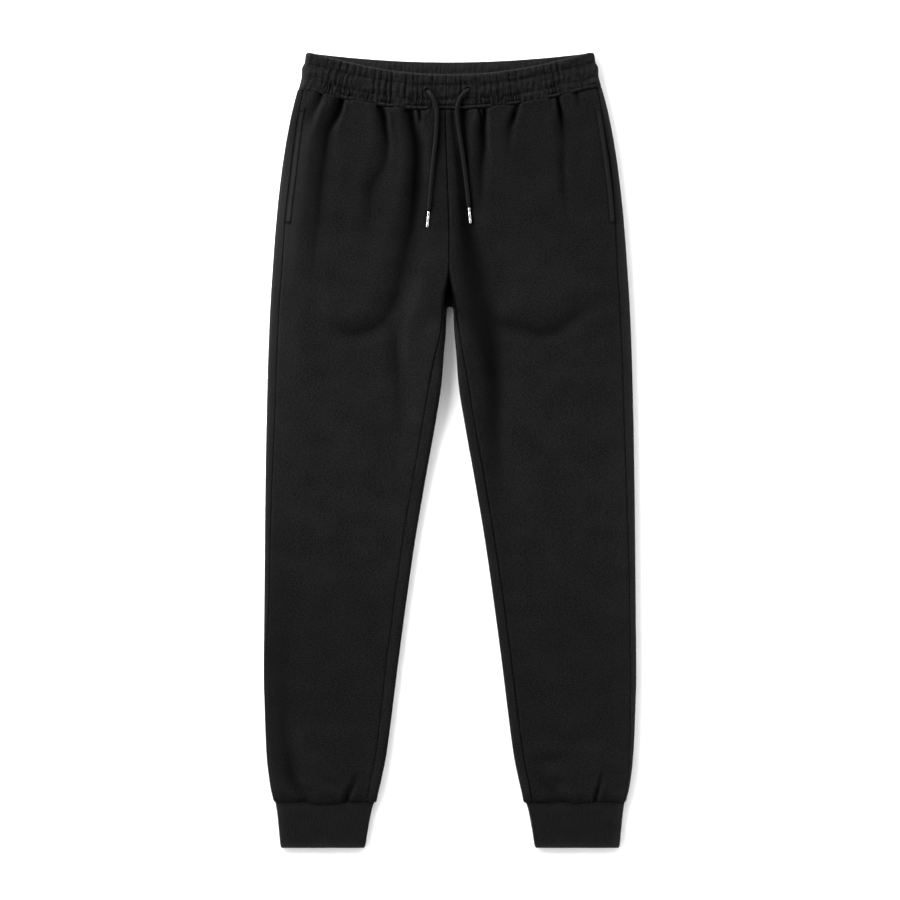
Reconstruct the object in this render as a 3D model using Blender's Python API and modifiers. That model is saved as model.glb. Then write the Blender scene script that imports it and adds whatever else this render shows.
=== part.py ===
"""Jogger sweatpants laid flat on their back, front up.

Frame: X runs across, +Y towards the waist and +Z up from the surface that they lie on.
The origin is under the middle of the whole garment. Left and right are those of a person
who looks down at the front. Sizes are in millimetres and become metres as a mesh is made.
A place on the cloth is (x, drop, z), where drop is how far below the top corners of the
waistband it lies.
"""

import math
from bisect import bisect_right
from collections import namedtuple

import bmesh
import bpy
from mathutils import Vector

MM = 0.001
LEFT, RIGHT = -1, 1

# Driving sizes of the whole garment
LENGTH = 1017.6          # top corners of the waistband to the edge of the cuffs
BAND_HEIGHT = 45.0       # waistband, across its three tunnels
LEG_END = 956.0          # seam between leg and cuff
FORK = 325.0             # fold of the back where the legs part
CROTCH = 275.0           # point where the two front panels part
FORK_DEPTH = 7.0         # drop over which the fork's outline turns into the legs'

# Thickness of the walls, and the slit that a seam leaves between two pieces
CLOTH = 2.2
BAND_WALL = 4.6
RIB_WALL = 2.8
POCKET_PLY = 1.2
POCKET_SLACK = 0.8       # under the front panel
SEAM = 0.3

# The folded edges of the flat tube: how far in from the outline the round part reaches
EDGE_REACH = 5.0
EDGE_ROLL = 42.0         # how far in the cloth stays lifted by its folded edge
BAND_REACH = 6.0
FORK_REACH = 2.6         # the same at the fork's centre seam
LEG_TOP_REACH = 3.2      # and where the legs' inner edges begin
LEG_TOP_TURN = 60.0      # drop over which those grow to the full roll
CUFF_REACH = 3.4
LOWEST_FRONT = 2.0 * CLOTH + 0.5

# Waistband
BAND_TOP = 10.4          # height of the gathered front above the surface
BAND_BULGE = 0.9         # how far each tunnel stands proud of the stitch rows
BAND_SIDE_BULGE = 0.8    # and how far it widens the sides there
BAND_ROUND = 1.6         # its rounded top edge starts this much lower
BAND_SLIT = -4.6         # x of the centre-front joint
BAND_INSIDE = 5.8        # underside of the band's front wall
STITCH_ROWS = (0.0, 13.5, 32.0, 45.0)
BAND_HALF_TOP, BAND_HALF_SEAM = 183.0, 194.0
SEAM_HALF = BAND_HALF_SEAM - BAND_REACH
FOLD_MARKS = 30.0        # marks that a folded side counts for, where its faces are joined
FRONT_SAG, BACK_SAG = 28.0, 13.4
LEFT_DROOP = 2.5         # the seam under the left half hangs lower
GATHER_DEPTH = 1.7
GATHER_PRESS = (0.9, 1.0, 0.5)   # how deep they run on, in the rows under the band
INNER_DEPTH = 1.5        # gathers on the inside of the back, which shows above the front
INNER_BULGE = 0.5
INNER_FADE = 20.0        # this far down they have run out
GATHERS = {LEFT: 21, RIGHT: 14}

# Drawcord
CORD_RADIUS = 2.75
AGLET_RADIUS = 2.3
AGLET_LENGTH = 20.0

# Pocket mouths, in the outer seam of the front
MOUTH_TOP, MOUTH_END = 75.0, 215.0
MOUTH_STRIP = 8.0        # turned edge of the mouth
MOUTH_STEP = 1.6         # width of the step down beside it
MOUTH_RAISE = 0.7
MOUTH_GAPE = {LEFT: 0.3, RIGHT: 1.0}
POCKET_WIDTH = 22.0

# Half width of the garment, and the outer seam's distance in from that outline
Outer = namedtuple("Outer", "drop width seam")
OUTER = (
    Outer(45.0, 194.0, 6.0),
    Outer(62.0, 198.3, 7.0),
    Outer(86.0, 203.8, 8.3),
    Outer(116.0, 209.4, 9.2),
    Outer(163.0, 216.3, 10.3),
    Outer(209.0, 221.2, 11.4),
    Outer(270.0, 226.0, 12.5),
    Outer(340.0, 230.2, 11.8),
    Outer(430.0, 233.3, 11.2),
    Outer(560.0, 235.8, 9.4),
    Outer(700.0, 237.1, 6.2),
    Outer(792.0, 238.0, 4.8),
    Outer(850.0, 236.4, 2.8),
    Outer(900.0, 233.9, 2.2),
    Outer(930.0, 230.4, 2.2),
    Outer(945.0, 228.3, 2.2),
    Outer(956.0, 225.8, 2.2),
)

# Half width of the gap between the legs
Gap = namedtuple("Gap", "drop width")
GAP = (
    Gap(325.0, 4.9),
    Gap(355.0, 6.3),
    Gap(380.0, 8.7),
    Gap(424.0, 11.8),
    Gap(470.0, 18.7),
    Gap(540.0, 31.2),
    Gap(620.0, 44.8),
    Gap(700.0, 56.4),
    Gap(790.0, 68.3),
    Gap(850.0, 75.6),
    Gap(900.0, 82.4),
    Gap(935.0, 89.6),
    Gap(956.0, 94.5),
)

# Inner edge of the two front panels: centre-front seam, then crotch notch, then inseam
Inseam = namedtuple("Inseam", "drop left right")
INSEAM = (
    Inseam(45.0, -6.2, -6.2),
    Inseam(76.0, -6.0, -6.0),
    Inseam(160.0, -3.2, -3.2),
    Inseam(239.0, -0.9, -0.9),
    Inseam(275.0, -1.3, -1.3),
    Inseam(290.0, -3.9, 1.3),
    Inseam(307.0, -7.9, 5.3),
    Inseam(325.0, -9.5, 6.9),
    Inseam(345.0, -10.6, 9.7),
    Inseam(365.0, -13.4, 13.2),
    Inseam(388.0, -19.0, 17.2),
    Inseam(415.0, -24.6, 22.3),
    Inseam(450.0, -30.5, 27.6),
    Inseam(540.0, -46.2, 43.2),
    Inseam(620.0, -59.6, 56.8),
    Inseam(700.0, -70.6, 68.4),
    Inseam(790.0, -82.3, 80.3),
    Inseam(850.0, -88.6, 87.6),
    Inseam(900.0, -94.9, 94.2),
    Inseam(935.0, -102.0, 101.0),
    Inseam(956.0, -106.6, 105.8),
)

# Height of the front above the surface: at the folded edges, and between them
Loft = namedtuple("Loft", "drop edge middle")
LOFT = (
    Loft(45.0, 8.8, 8.6),
    Loft(60.0, 9.8, 9.6),
    Loft(110.0, 9.6, 9.2),
    Loft(200.0, 9.3, 8.4),
    Loft(275.0, 9.2, 7.9),
    Loft(330.0, 9.0, 7.8),
    Loft(420.0, 8.8, 7.0),
    Loft(600.0, 8.6, 6.2),
    Loft(850.0, 8.6, 6.2),
    Loft(920.0, 9.0, 7.8),
    Loft(944.0, 9.2, 8.6),
    Loft(956.0, 7.8, 7.4),
)

# Cuff tubes
Cuff = namedtuple("Cuff", "drop outer inner height")
CUFF = (
    Cuff(956.3, 224.6, 95.0, 7.6),
    Cuff(962.0, 222.4, 98.2, 7.2),
    Cuff(974.0, 220.4, 101.8, 7.0),
    Cuff(996.0, 218.1, 106.0, 6.8),
    Cuff(1013.0, 216.4, 108.9, 6.7),
    Cuff(LENGTH, 215.4, 110.2, 6.0),
)
RIBS = 36
RIB_DEPTH = 0.7
RIB_INSIDE = 3.3         # underside of the cuff's upper wall
EDGE_MARKS = 10.0        # marks that a folded edge counts for, where rings are joined

# Largest creases of the front: hollows that run through (x, drop) with a depth at each
Point = namedtuple("Point", "x drop depth")
Crease = namedtuple("Crease", "name width route")
CREASES = (
    Crease("left hip, from the pocket", 5.0, (
        Point(-165.0, 52.0, 2.6), Point(-175.5, 78.0, 0.8))),
    Crease("left hip, long", 6.0, (
        Point(-139.6, 56.0, 3.4), Point(-158.0, 103.0, 3.0), Point(-165.0, 164.0, 1.8),
        Point(-170.0, 205.0, 0.3))),
    Crease("left belly, short", 5.5, (
        Point(-84.5, 70.0, 3.0), Point(-80.3, 100.0, 2.4), Point(-79.0, 133.0, 0.8))),
    Crease("left belly, broad", 17.0, (
        Point(-86.0, 120.0, 0.6), Point(-98.7, 164.0, 1.4), Point(-112.0, 215.0, 0.3))),
    Crease("left of the cord, long", 7.0, (
        Point(-51.3, 72.0, 3.2), Point(-44.2, 108.0, 3.0), Point(-44.2, 164.0, 2.2),
        Point(-51.3, 212.0, 0.4))),
    Crease("centre, slanting", 9.0, (
        Point(4.4, 78.0, 2.4), Point(9.5, 130.0, 2.2), Point(17.8, 247.0, 1.9),
        Point(30.0, 292.0, 1.6), Point(50.0, 362.0, 0.5))),
    Crease("right of the cord", 6.5, (
        Point(43.4, 74.0, 2.8), Point(41.5, 125.0, 2.0), Point(40.5, 185.0, 0.4))),
    Crease("right belly", 6.0, (
        Point(80.5, 68.0, 2.6), Point(76.7, 115.0, 0.9), Point(75.0, 150.0, 0.2))),
    Crease("right hip, long", 6.0, (
        Point(134.5, 55.0, 3.2), Point(143.2, 95.0, 3.0), Point(145.8, 150.0, 1.6),
        Point(146.0, 195.0, 0.3))),
    Crease("right hip, from the pocket", 4.5, (
        Point(162.4, 50.0, 2.2), Point(167.0, 70.0, 0.5))),
    Crease("left thigh, under the crotch", 13.0, (
        Point(-30.0, 280.0, 0.3), Point(-62.0, 317.0, 1.5), Point(-109.0, 352.0, 1.4),
        Point(-160.0, 350.0, 0.3))),
    Crease("right thigh, under the crotch", 13.0, (
        Point(32.0, 296.0, 0.3), Point(80.0, 354.0, 1.4), Point(139.0, 358.0, 1.3),
        Point(208.0, 318.0, 0.3))),
    Crease("right thigh, upright", 9.0, (
        Point(34.0, 325.0, 0.3), Point(54.0, 374.0, 1.7), Point(57.0, 470.0, 1.2),
        Point(58.0, 540.0, 0.2))),
    Crease("left thigh, upright", 9.0, (
        Point(-56.0, 350.0, 0.3), Point(-62.0, 395.0, 1.3), Point(-63.0, 460.0, 0.3))),
    Crease("left leg, above the cuff", 8.0, (
        Point(-216.0, 845.0, 0.3), Point(-208.0, 895.0, 2.0), Point(-192.0, 945.0, 2.2))),
    Crease("left leg, at the cuff", 6.0, (
        Point(-124.0, 925.0, 0.4), Point(-133.0, 953.0, 2.0))),
    Crease("right leg, above the cuff", 7.0, (
        Point(196.0, 915.0, 0.4), Point(186.0, 952.0, 2.2))),
    Crease("right leg, at the cuff", 8.0, (
        Point(110.0, 915.0, 0.3), Point(136.0, 950.0, 1.8))),
)

# Rows of the legs and hips: drop before the waist's sag is added
ROWS = (45.0, 54.0, 68.0, 88.0, 112.0, 138.0, 165.0, 192.0, 220.0, 248.0, CROTCH, 290.0,
        307.0, FORK, 345.0, 365.0, 388.0, 415.0, 450.0, 490.0, 535.0, 580.0, 625.0, 670.0,
        715.0, 760.0, 805.0, 848.0, 888.0, 922.0, 944.0, LEG_END)
FINE_ROWS = 16           # rows with the hips' closer columns
FINE_COLUMNS, PLAIN_COLUMNS = 25, 13
SAG_FADE = 170.0         # over this drop the rows turn straight

# Routes of the drawcord's free ends, from the buttonhole to the tip: (x, drop, z)
CORDS = {
    LEFT: ((-28.9, 49.3, 9.7), (-23.4, 56.0, 14.4), (-19.3, 66.6, 14.1), (-18.4, 77.0, 13.4),
           (-18.9, 90.0, 12.9), (-20.2, 111.4, 12.6), (-21.9, 130.6, 12.5),
           (-23.8, 156.2, 12.3), (-25.7, 181.8, 11.9), (-27.6, 203.2, 11.7)),
    RIGHT: ((23.6, 48.0, 9.7), (17.4, 52.6, 13.9), (11.2, 60.2, 13.7), (7.8, 69.1, 13.4),
            (7.3, 79.4, 11.9), (9.5, 98.6, 10.7), (12.7, 121.6, 10.7), (16.5, 149.8, 10.8),
            (20.4, 181.8, 10.9), (23.6, 198.2, 11.1)),
}
CORD_STEP = 9.0          # between points of the tube


class Curve:
    """A smooth curve through a column of a table that never overshoots its rows."""

    def __init__(self, table, column):
        self.places = [row.drop for row in table]
        self.values = [getattr(row, column) for row in table]
        steps = [b - a for a, b in zip(self.places, self.places[1:])]
        rises = [(b - a) / step for a, b, step in zip(self.values, self.values[1:], steps)]
        turns = [2.0 * a * b / (a + b) if a * b > 0.0 else 0.0
                 for a, b in zip(rises, rises[1:])]
        self.slopes = [rises[0], *turns, rises[-1]]

    def __call__(self, drop):
        spot = min(max(bisect_right(self.places, drop) - 1, 0), len(self.places) - 2)
        step = self.places[spot + 1] - self.places[spot]
        t = min(max((drop - self.places[spot]) / step, 0.0), 1.0)
        start, end = self.values[spot], self.values[spot + 1]
        leave, arrive = self.slopes[spot] * step, self.slopes[spot + 1] * step
        return (start * (1 + 2 * t) * (1 - t) ** 2 + leave * t * (1 - t) ** 2
                + end * t * t * (3 - 2 * t) - arrive * t * t * (1 - t))


outer_width = Curve(OUTER, "width")
outseam_inset = Curve(OUTER, "seam")
gap_width = Curve(GAP, "width")
inseam_x = {LEFT: Curve(INSEAM, "left"), RIGHT: Curve(INSEAM, "right")}
edge_loft = Curve(LOFT, "edge")
middle_loft = Curve(LOFT, "middle")


def smooth(t):
    """Ease from 0 to 1."""
    t = min(max(t, 0.0), 1.0)
    return t * t * (3.0 - 2.0 * t)


def blend(a, b, t):
    """Straight way from a to b."""
    return a + (b - a) * t


def blend_points(a, b, t):
    """Straight way between two points."""
    return tuple(blend(p, q, t) for p, q in zip(a, b))


# ---------------------------------------------------------------- the waist

def band_height(x):
    """Height of the waistband where its seam is at x: a little more on the left."""
    return BAND_HEIGHT + LEFT_DROOP * smooth(-x / 60.0)


def sag(x, depth, power):
    """How far the flat waist hangs below its corners."""
    return depth * max(0.0, 1.0 - (x / SEAM_HALF) ** 2) ** power


def front_sag(x):
    return sag(x, FRONT_SAG, 1.12)


def back_sag(x):
    return sag(x, BACK_SAG, 1.33)


def band_half(v):
    """Half width of the band, v down from its top edge: wider at each tunnel."""
    return blend(BAND_HALF_TOP, BAND_HALF_SEAM, v / BAND_HEIGHT) + BAND_SIDE_BULGE * (bulge(v) - 0.5)


def bulge(v):
    """0 at a stitch row, 1 in the middle of a tunnel."""
    for top, end in zip(STITCH_ROWS, STITCH_ROWS[1:]):
        if v <= end:
            return abs(math.sin(math.pi * (v - top) / (end - top))) ** 0.7
    return 0.0


def gather_valleys(side):
    """x of each gather at the seam, unevenly spaced, from the middle to the side."""
    count = GATHERS[side]
    start = BAND_SLIT + side * 3.0
    span = SEAM_HALF * side - start
    return [start + span * (k + 0.5 + 0.24 * math.sin(2.3 * k + side)) / count
            for k in range(count)]


def gather_depth(k, side):
    """Depth of one gather as a share of the deepest."""
    share = 0.78 + 0.22 * math.sin(1.9 * k + 2.0 * side)
    return share if side == LEFT else 0.8 * share


def gather_stations(side, shoulders=(0.3, 0.7)):
    """(x at the seam, wave) in turn: wave is a valley's depth, and 0 on the ridge between."""
    valleys = gather_valleys(side)
    stations = []
    for k, x in enumerate(valleys):
        if k:
            stations += [(blend(valleys[k - 1], x, share), 0.0) for share in shoulders]
        stations.append((x, gather_depth(k, side)))
    return stations


# ---------------------------------------------------------------- the front's surface

def crease_depth(crease, x, drop):
    """Depth of one crease at a place: a round hollow with a low swell beside it."""
    nearest, depth = None, 0.0
    for a, b in zip(crease.route, crease.route[1:]):
        run_x, run_drop = b.x - a.x, b.drop - a.drop
        t = ((x - a.x) * run_x + (drop - a.drop) * run_drop) / (run_x ** 2 + run_drop ** 2)
        t = min(max(t, 0.0), 1.0)
        away = math.hypot(x - a.x - t * run_x, drop - a.drop - t * run_drop)
        if nearest is None or away < nearest:
            nearest, depth = away, blend(a.depth, b.depth, t)
    hollow = math.exp(-(nearest / crease.width) ** 2)
    swell = math.exp(-((nearest - 2.0 * crease.width) / crease.width) ** 2)
    return depth * (hollow - 0.25 * swell)


def parting(drop):
    """0 at the fork, 1 where the inner edges of the legs have their full roll."""
    return smooth((drop - FORK) / LEG_TOP_TURN)


def inner_reach(drop):
    return blend(LEG_TOP_REACH, EDGE_REACH, parting(drop))


def inner_edge_height(drop):
    return blend(middle_loft(drop), edge_loft(drop), parting(drop))


def roll(distance):
    """1 at a folded edge, 0 where the front lies down on the back."""
    return 0.5 + 0.5 * math.cos(math.pi * min(max(distance / EDGE_ROLL, 0.0), 1.0))


def front_height(x, drop):
    """Height of the front's outer side, inside the round edges."""
    edge, middle = edge_loft(drop), middle_loft(drop)
    outward = outer_width(drop) - abs(x) - EDGE_REACH
    lift = roll(outward)
    keep = smooth(outward / 10.0)
    if drop > FORK:
        inward = abs(x) - gap_width(drop) - inner_reach(drop)
        lift = max(lift, parting(drop) * roll(inward))
        keep *= blend(1.0, smooth(inward / 10.0), parting(drop))
    dip = sum(crease_depth(crease, x, drop) for crease in CREASES)
    return max(blend(middle, edge, lift) - keep * dip, LOWEST_FRONT)


def round_edge(outline, side, height, reach, angle, depth):
    """(x, z) on a folded edge: angle 90 is its top, 0 its outline and -90 its underside."""
    turn = math.radians(angle)
    half = height / 2.0
    return (outline - side * reach + side * (reach - depth) * math.cos(turn),
            half + (half - depth) * math.sin(turn))


def front_point(x, drop, depth=0.0):
    """A point of the upper side of the garment, depth below its outer face."""
    side = RIGHT if x > 0.0 else LEFT
    outline = outer_width(drop)
    inset = outline - abs(x)
    if inset < EDGE_REACH:
        angle = math.degrees(math.acos((EDGE_REACH - inset) / EDGE_REACH))
        px, z = round_edge(side * outline, side, edge_loft(drop), EDGE_REACH, angle, depth)
        return px, drop, z
    if drop > FORK:
        outline, reach = gap_width(drop), inner_reach(drop)
        inset = abs(x) - outline
        if inset < reach:
            angle = math.degrees(math.acos((reach - inset) / reach))
            px, z = round_edge(side * outline, -side, inner_edge_height(drop), reach, angle,
                               depth)
            return px, drop, z
    return x, drop, front_height(x, drop) - depth


def straighten(row_drop):
    """1 at the waist, 0 where the rows have turned straight."""
    return 1.0 - smooth((row_drop - BAND_HEIGHT) / SAG_FADE)


def waist_drop(row_drop, x, sag_of):
    """Drop of a row at x: the waist's curve fades out down the hips."""
    lowered = sag_of(x) + band_height(x) - BAND_HEIGHT
    gap = SEAM / 2.0 if row_drop == ROWS[0] else 0.0
    return row_drop + gap + lowered * straighten(row_drop)


# ---------------------------------------------------------------- meshes

def to_metres(point):
    x, drop, z = point
    return Vector((x, LENGTH / 2.0 - drop, z)) * MM


def join_rows(low, high, low_marks=None, high_marks=None):
    """Faces between two rows of corners: squares, or triangles where their marks differ."""
    if low_marks is None or high_marks is None or low_marks == high_marks:
        return [(low[k], low[k + 1], high[k + 1], high[k]) for k in range(len(low) - 1)]
    faces, i, j = [], 0, 0
    while i < len(low) - 1 or j < len(high) - 1:
        step_low = i < len(low) - 1 and (
            j == len(high) - 1 or low_marks[i + 1] <= high_marks[j + 1])
        if step_low:
            faces.append((low[i], low[i + 1], high[j]))
            i += 1
        else:
            faces.append((low[i], high[j + 1], high[j]))
            j += 1
    return faces


def make_object(name, mesh_data, material, collection, smooth_angle=40.0):
    """An object with its own mesh, shaded smooth but for its sharp edges."""
    bm = bmesh.new()
    corners = [bm.verts.new(to_metres(point)) for point in mesh_data.points]
    for face in mesh_data.faces:
        bm.faces.new([corners[k] for k in face])
    bmesh.ops.recalc_face_normals(bm, faces=bm.faces)
    mesh = bpy.data.meshes.new(name)
    bm.to_mesh(mesh)
    bm.free()
    mesh.shade_smooth()
    mesh.set_sharp_from_angle(angle=math.radians(smooth_angle))
    mesh.materials.append(material)
    part = bpy.data.objects.new(name, mesh)
    collection.objects.link(part)
    return part


class MeshData:
    """Points and faces of one solid, gathered row by row."""

    def __init__(self):
        self.points = []
        self.faces = []

    def add_row(self, points):
        """Keep the points and give back their numbers."""
        first = len(self.points)
        self.points.extend(points)
        return list(range(first, len(self.points)))


def thick_sheet(rows, inner_of):
    """A cloth wall: rows of (mark, outer point), and the inner point that backs each one.

    Rows are joined where their marks are shared, so a row may start further in than the
    next one. The inner side repeats the outer side's faces, and the free edges are closed.
    """
    data = MeshData()
    outer = [data.add_row([entry[1] for entry in row]) for row in rows]
    marks = [[entry[0] for entry in row] for row in rows]
    for k in range(len(rows) - 1):
        start_low, start_high = shared_start(marks[k], marks[k + 1])
        data.faces += join_rows(outer[k][start_low:], outer[k + 1][start_high:],
                                marks[k][start_low:], marks[k + 1][start_high:])
    count = len(data.points)
    data.points += [inner_of[k] for k in range(count)]
    outer_faces = list(data.faces)
    sides = {}
    for face in outer_faces:
        for a, b in zip(face, face[1:] + face[:1]):
            sides[frozenset((a, b))] = None if frozenset((a, b)) in sides else (a, b)
    data.faces += [tuple(k + count for k in reversed(face)) for face in outer_faces]
    for pair in sides.values():
        if pair is not None:
            a, b = pair
            data.faces.append((b, a, a + count, b + count))
    return data


def shared_start(low, high):
    """Where two rows begin to run side by side: their marks may start at different ends."""
    start = max(low[0], high[0])
    return (next(k for k, mark in enumerate(low) if mark >= start - 1e-9),
            next(k for k, mark in enumerate(high) if mark >= start - 1e-9))


# ---------------------------------------------------------------- front panels

def mouth_opening(drop):
    """0 at the ends of a pocket mouth and beyond, 1 in its middle."""
    t = (drop - MOUTH_TOP) / (MOUTH_END - MOUTH_TOP)
    return math.sin(math.pi * t) if 0.0 < t < 1.0 else 0.0


def outseam_x(side, drop):
    return side * (outer_width(drop) - outseam_inset(drop))


def front_edges(side, row_drop):
    """x of a front panel's inner and outer edge in a row."""
    inner = inseam_x[side](waist_drop(row_drop, side * 6.0, front_sag)) + side * SEAM / 2.0
    drop = waist_drop(row_drop, side * SEAM_HALF, front_sag)
    outer = outseam_x(side, drop) - side * (SEAM / 2.0 + MOUTH_GAPE[side] * mouth_opening(drop))
    return inner, outer


def front_marks(side, number, inner, outer):
    """Where the columns of a row stand, from 0 at the inner to 1 at the outer edge."""
    strip = 1.0 - MOUTH_STRIP / abs(outer - inner)
    step = 1.0 - (MOUTH_STRIP + MOUTH_STEP) / abs(outer - inner)
    if number < len(GATHER_PRESS):
        marks = [(x - inner) / (outer - inner) for x, _ in gather_stations(side)]
        marks = [mark for mark in marks if 0.01 < mark < step - 0.01]
    else:
        count = FINE_COLUMNS if number < FINE_ROWS else PLAIN_COLUMNS
        marks = [step * k / count for k in range(1, count)]
    return [0.0, *marks, step, strip, 1.0]


def gather_wave(side, x):
    """How deep the gathers press at x just under the waistband, from 0 to 1."""
    stations = gather_stations(side)
    for (xa, a), (xb, b) in zip(stations, stations[1:]):
        if min(xa, xb) <= x <= max(xa, xb):
            return blend(a, b, (x - xa) / (xb - xa))
    return 0.0


def front_panel(side):
    """One front, from the centre front and inseam to the outer seam."""
    rows, backing = [], []
    for number, row_drop in enumerate(ROWS):
        inner, outer = front_edges(side, row_drop)
        row = []
        for mark in front_marks(side, number, inner, outer):
            x = blend(inner, outer, mark)
            drop = waist_drop(row_drop, x, front_sag)
            if row_drop == LEG_END:
                drop -= SEAM / 2.0
            lift = 0.0
            near_mouth = abs(outer - x) < MOUTH_STRIP + 0.1
            if near_mouth and MOUTH_TOP - 9.0 < row_drop < MOUTH_END + 9.0:
                lift = MOUTH_RAISE
            if number < len(GATHER_PRESS) and not near_mouth:
                lift -= GATHER_PRESS[number] * gather_wave(side, x)
            px, pdrop, z = front_point(x, drop)
            row.append((mark, (px, pdrop, z + lift)))
            px, pdrop, z = front_point(x, drop, CLOTH)
            backing.append((px, pdrop, z + min(lift, 0.0)))
        rows.append(row)
    return thick_sheet(rows, backing)


# ---------------------------------------------------------------- back panels

def fork_corner(share, side):
    """Place, outward direction, reach and height of the back's fold round the fork.

    share runs from 0 at the centre seam to 1 at the start of the leg's inner edge. The
    fold's outline is a quarter of a rounded square as wide as the gap between the legs.
    """
    wide = gap_width(FORK) - SEAM / 2.0
    turn = math.radians(90.0 * share)
    across, along = math.sin(turn) ** (2.0 / 3.0), math.cos(turn) ** (2.0 / 3.0)
    place = (side * (SEAM / 2.0 + wide * across), FORK + FORK_DEPTH * (1.0 - along))
    out_x, out_drop = across ** 2 / wide, along ** 2 / FORK_DEPTH
    size = math.hypot(out_x, out_drop)
    reach = blend(FORK_REACH, LEG_TOP_REACH, share)
    height = blend(2.0 * FORK_REACH, inner_edge_height(FORK), share)
    return place, (-side * out_x / size, out_drop / size), reach, height


def fork_row(side, number, depth):
    """Points of one row of the back's fold at the fork, from the seam on top to below."""
    first, last = ROWS.index(CROTCH), ROWS.index(FORK)
    share = (number - first) / (last - first)
    (x, drop), (out_x, out_drop), reach, height = fork_corner(share, side)
    x0, drop0 = x - out_x * reach, drop - out_drop * reach
    if share == 0.0:
        x0 = x
    seam_drop = ROWS[number] + (SEAM / 2.0 if share == 0.0 else 0.0)
    seam_x = inseam_x[side](seam_drop)
    seam_x = seam_x + side * SEAM / 2.0 if share == 0.0 else seam_x - side * SEAM / 2.0
    seam_z = front_point(seam_x, seam_drop)[2]
    points = []
    for t in (0.0, 0.35, 0.7):
        ease = smooth(t)
        points.append((blend(seam_x, x0, t), blend(seam_drop, drop0, t),
                       blend(seam_z, height, ease) - depth))
    half = height / 2.0
    for angle in (90.0, 45.0, 0.0, -45.0, -90.0):
        turn = math.radians(angle)
        away = (reach - depth) * math.cos(turn)
        points.append((x0 + out_x * away, drop0 + out_drop * away,
                       half + (half - depth) * math.sin(turn)))
    return points


def leg_edge_row(outline, out_side, height, reach, inset, drop, depth):
    """Points round a folded leg edge, from the seam on top to the underside."""
    points = []
    for turn in (0.0, 24.0, 46.0, 68.0):
        u = inset * (1.0 - math.sin(math.radians(turn)))
        points.append(front_point(outline - out_side * u, drop, depth))
    for angle in (0.0, -30.0, -60.0, -90.0):
        x, z = round_edge(outline, out_side, height, reach, angle, depth)
        points.append((x, drop, z))
    return points


def back_panel(side):
    """One back: it lies on the surface and wraps up round both edges to the seams."""
    rows, backing = [], []
    first = ROWS.index(CROTCH)
    fork = ROWS.index(FORK)
    for number, row_drop in enumerate(ROWS):
        edge_drop = waist_drop(row_drop, side * SEAM_HALF, back_sag)
        if row_drop == LEG_END:
            edge_drop -= SEAM / 2.0
        pair = []
        for depth in (0.0, CLOTH):
            outline = side * outer_width(edge_drop)
            outer = leg_edge_row(outline, side, edge_loft(edge_drop), EDGE_REACH,
                                 outseam_inset(edge_drop) - SEAM / 2.0, edge_drop, depth)
            outer.reverse()
            inner = []
            if first <= number <= fork:
                inner = fork_row(side, number, depth)
            elif number > fork:
                outline = side * gap_width(edge_drop)
                inset = abs(inseam_x[side](edge_drop) - outline) - SEAM / 2.0
                inner = leg_edge_row(outline, -side, inner_edge_height(edge_drop),
                                     inner_reach(edge_drop), inset, edge_drop, depth)
            else:
                x = side * SEAM / 2.0
                inner = [(x, waist_drop(row_drop, x, back_sag), depth)]
            start, end = inner[-1], outer[0]
            flat = []
            for t in (0.25, 0.5, 0.75):
                x, drop, z = blend_points(start, end, t)
                if number < first:
                    drop = waist_drop(row_drop, x, back_sag)
                flat.append((x, drop, z))
            pair.append(inner + flat + outer)
        marks = range(8 - len(inner), 8 + len(flat) + len(outer))
        rows.append(list(zip(map(float, marks), pair[0])))
        backing += pair[1]
    return thick_sheet(rows, backing)


# ---------------------------------------------------------------- pocket plies

def pocket_ply(side):
    """The ply that shows in a pocket mouth, under the front and the back's outer seam."""
    rows, backing = [], []
    count = 6
    top_depth = CLOTH + POCKET_SLACK
    for k in range(count + 1):
        drop = blend(MOUTH_TOP - 4.0, MOUTH_END + 4.0, k / count)
        seam = outseam_x(side, drop)
        row = []
        for j, across in enumerate((-2.6, 3.0, 9.0, 15.0, POCKET_WIDTH)):
            x = seam - side * across
            row.append((float(j), front_point(x, drop, top_depth)))
            backing.append(front_point(x, drop, top_depth + POCKET_PLY))
        rows.append(row)
    return thick_sheet(rows, backing)


# ---------------------------------------------------------------- waistband

def band_mark(x, angle):
    """How far round the flattened ring a place lies, from the middle of the front.

    The way goes over the right front, round that side's fold, along the back below, round
    the left fold and over the left front. A fold counts as FOLD_MARKS.
    """
    if angle == 90.0 and abs(x) < SEAM_HALF:
        return x if x > BAND_SLIT else 4.0 * SEAM_HALF + 2.0 * FOLD_MARKS + x
    turned = FOLD_MARKS * (90.0 - angle) / 180.0
    if angle == -90.0 and abs(x) < SEAM_HALF:
        return 2.0 * SEAM_HALF + FOLD_MARKS - x
    if x > 0.0:
        return SEAM_HALF + turned
    return 3.0 * SEAM_HALF + 2.0 * FOLD_MARKS - turned


def band_set(front, back):
    """Columns of one face of the band in order: (mark, x at the seam, edge angle, wave).

    front and back hold the (x, wave) of its gathers. The folds at both sides and the two
    ends at the centre-front joint are added.
    """
    places = [(x, 90.0, wave) for x, wave in front]
    places += [(x, -90.0, wave) for x, wave in back]
    places += [(side * SEAM_HALF, 90.0 - 30.0 * k, 0.0) for side in (LEFT, RIGHT)
               for k in range(7)]
    places += [(BAND_SLIT + end * SEAM / 2.0, 90.0, 0.0) for end in (LEFT, RIGHT)]
    return sorted((band_mark(x, angle), x, angle, wave) for x, angle, wave in places)


def band_place(x, angle, v):
    """x and drop of a place on the band: x at the seam, angle round the edge, v down."""
    scale = (band_half(v) - BAND_REACH) / SEAM_HALF
    sag_of = front_sag if angle > 0.0 else back_sag
    drop = sag_of(x) + v * band_height(x) / BAND_HEIGHT
    if v == BAND_HEIGHT:
        drop -= SEAM / 2.0
    return x * scale, drop


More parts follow.
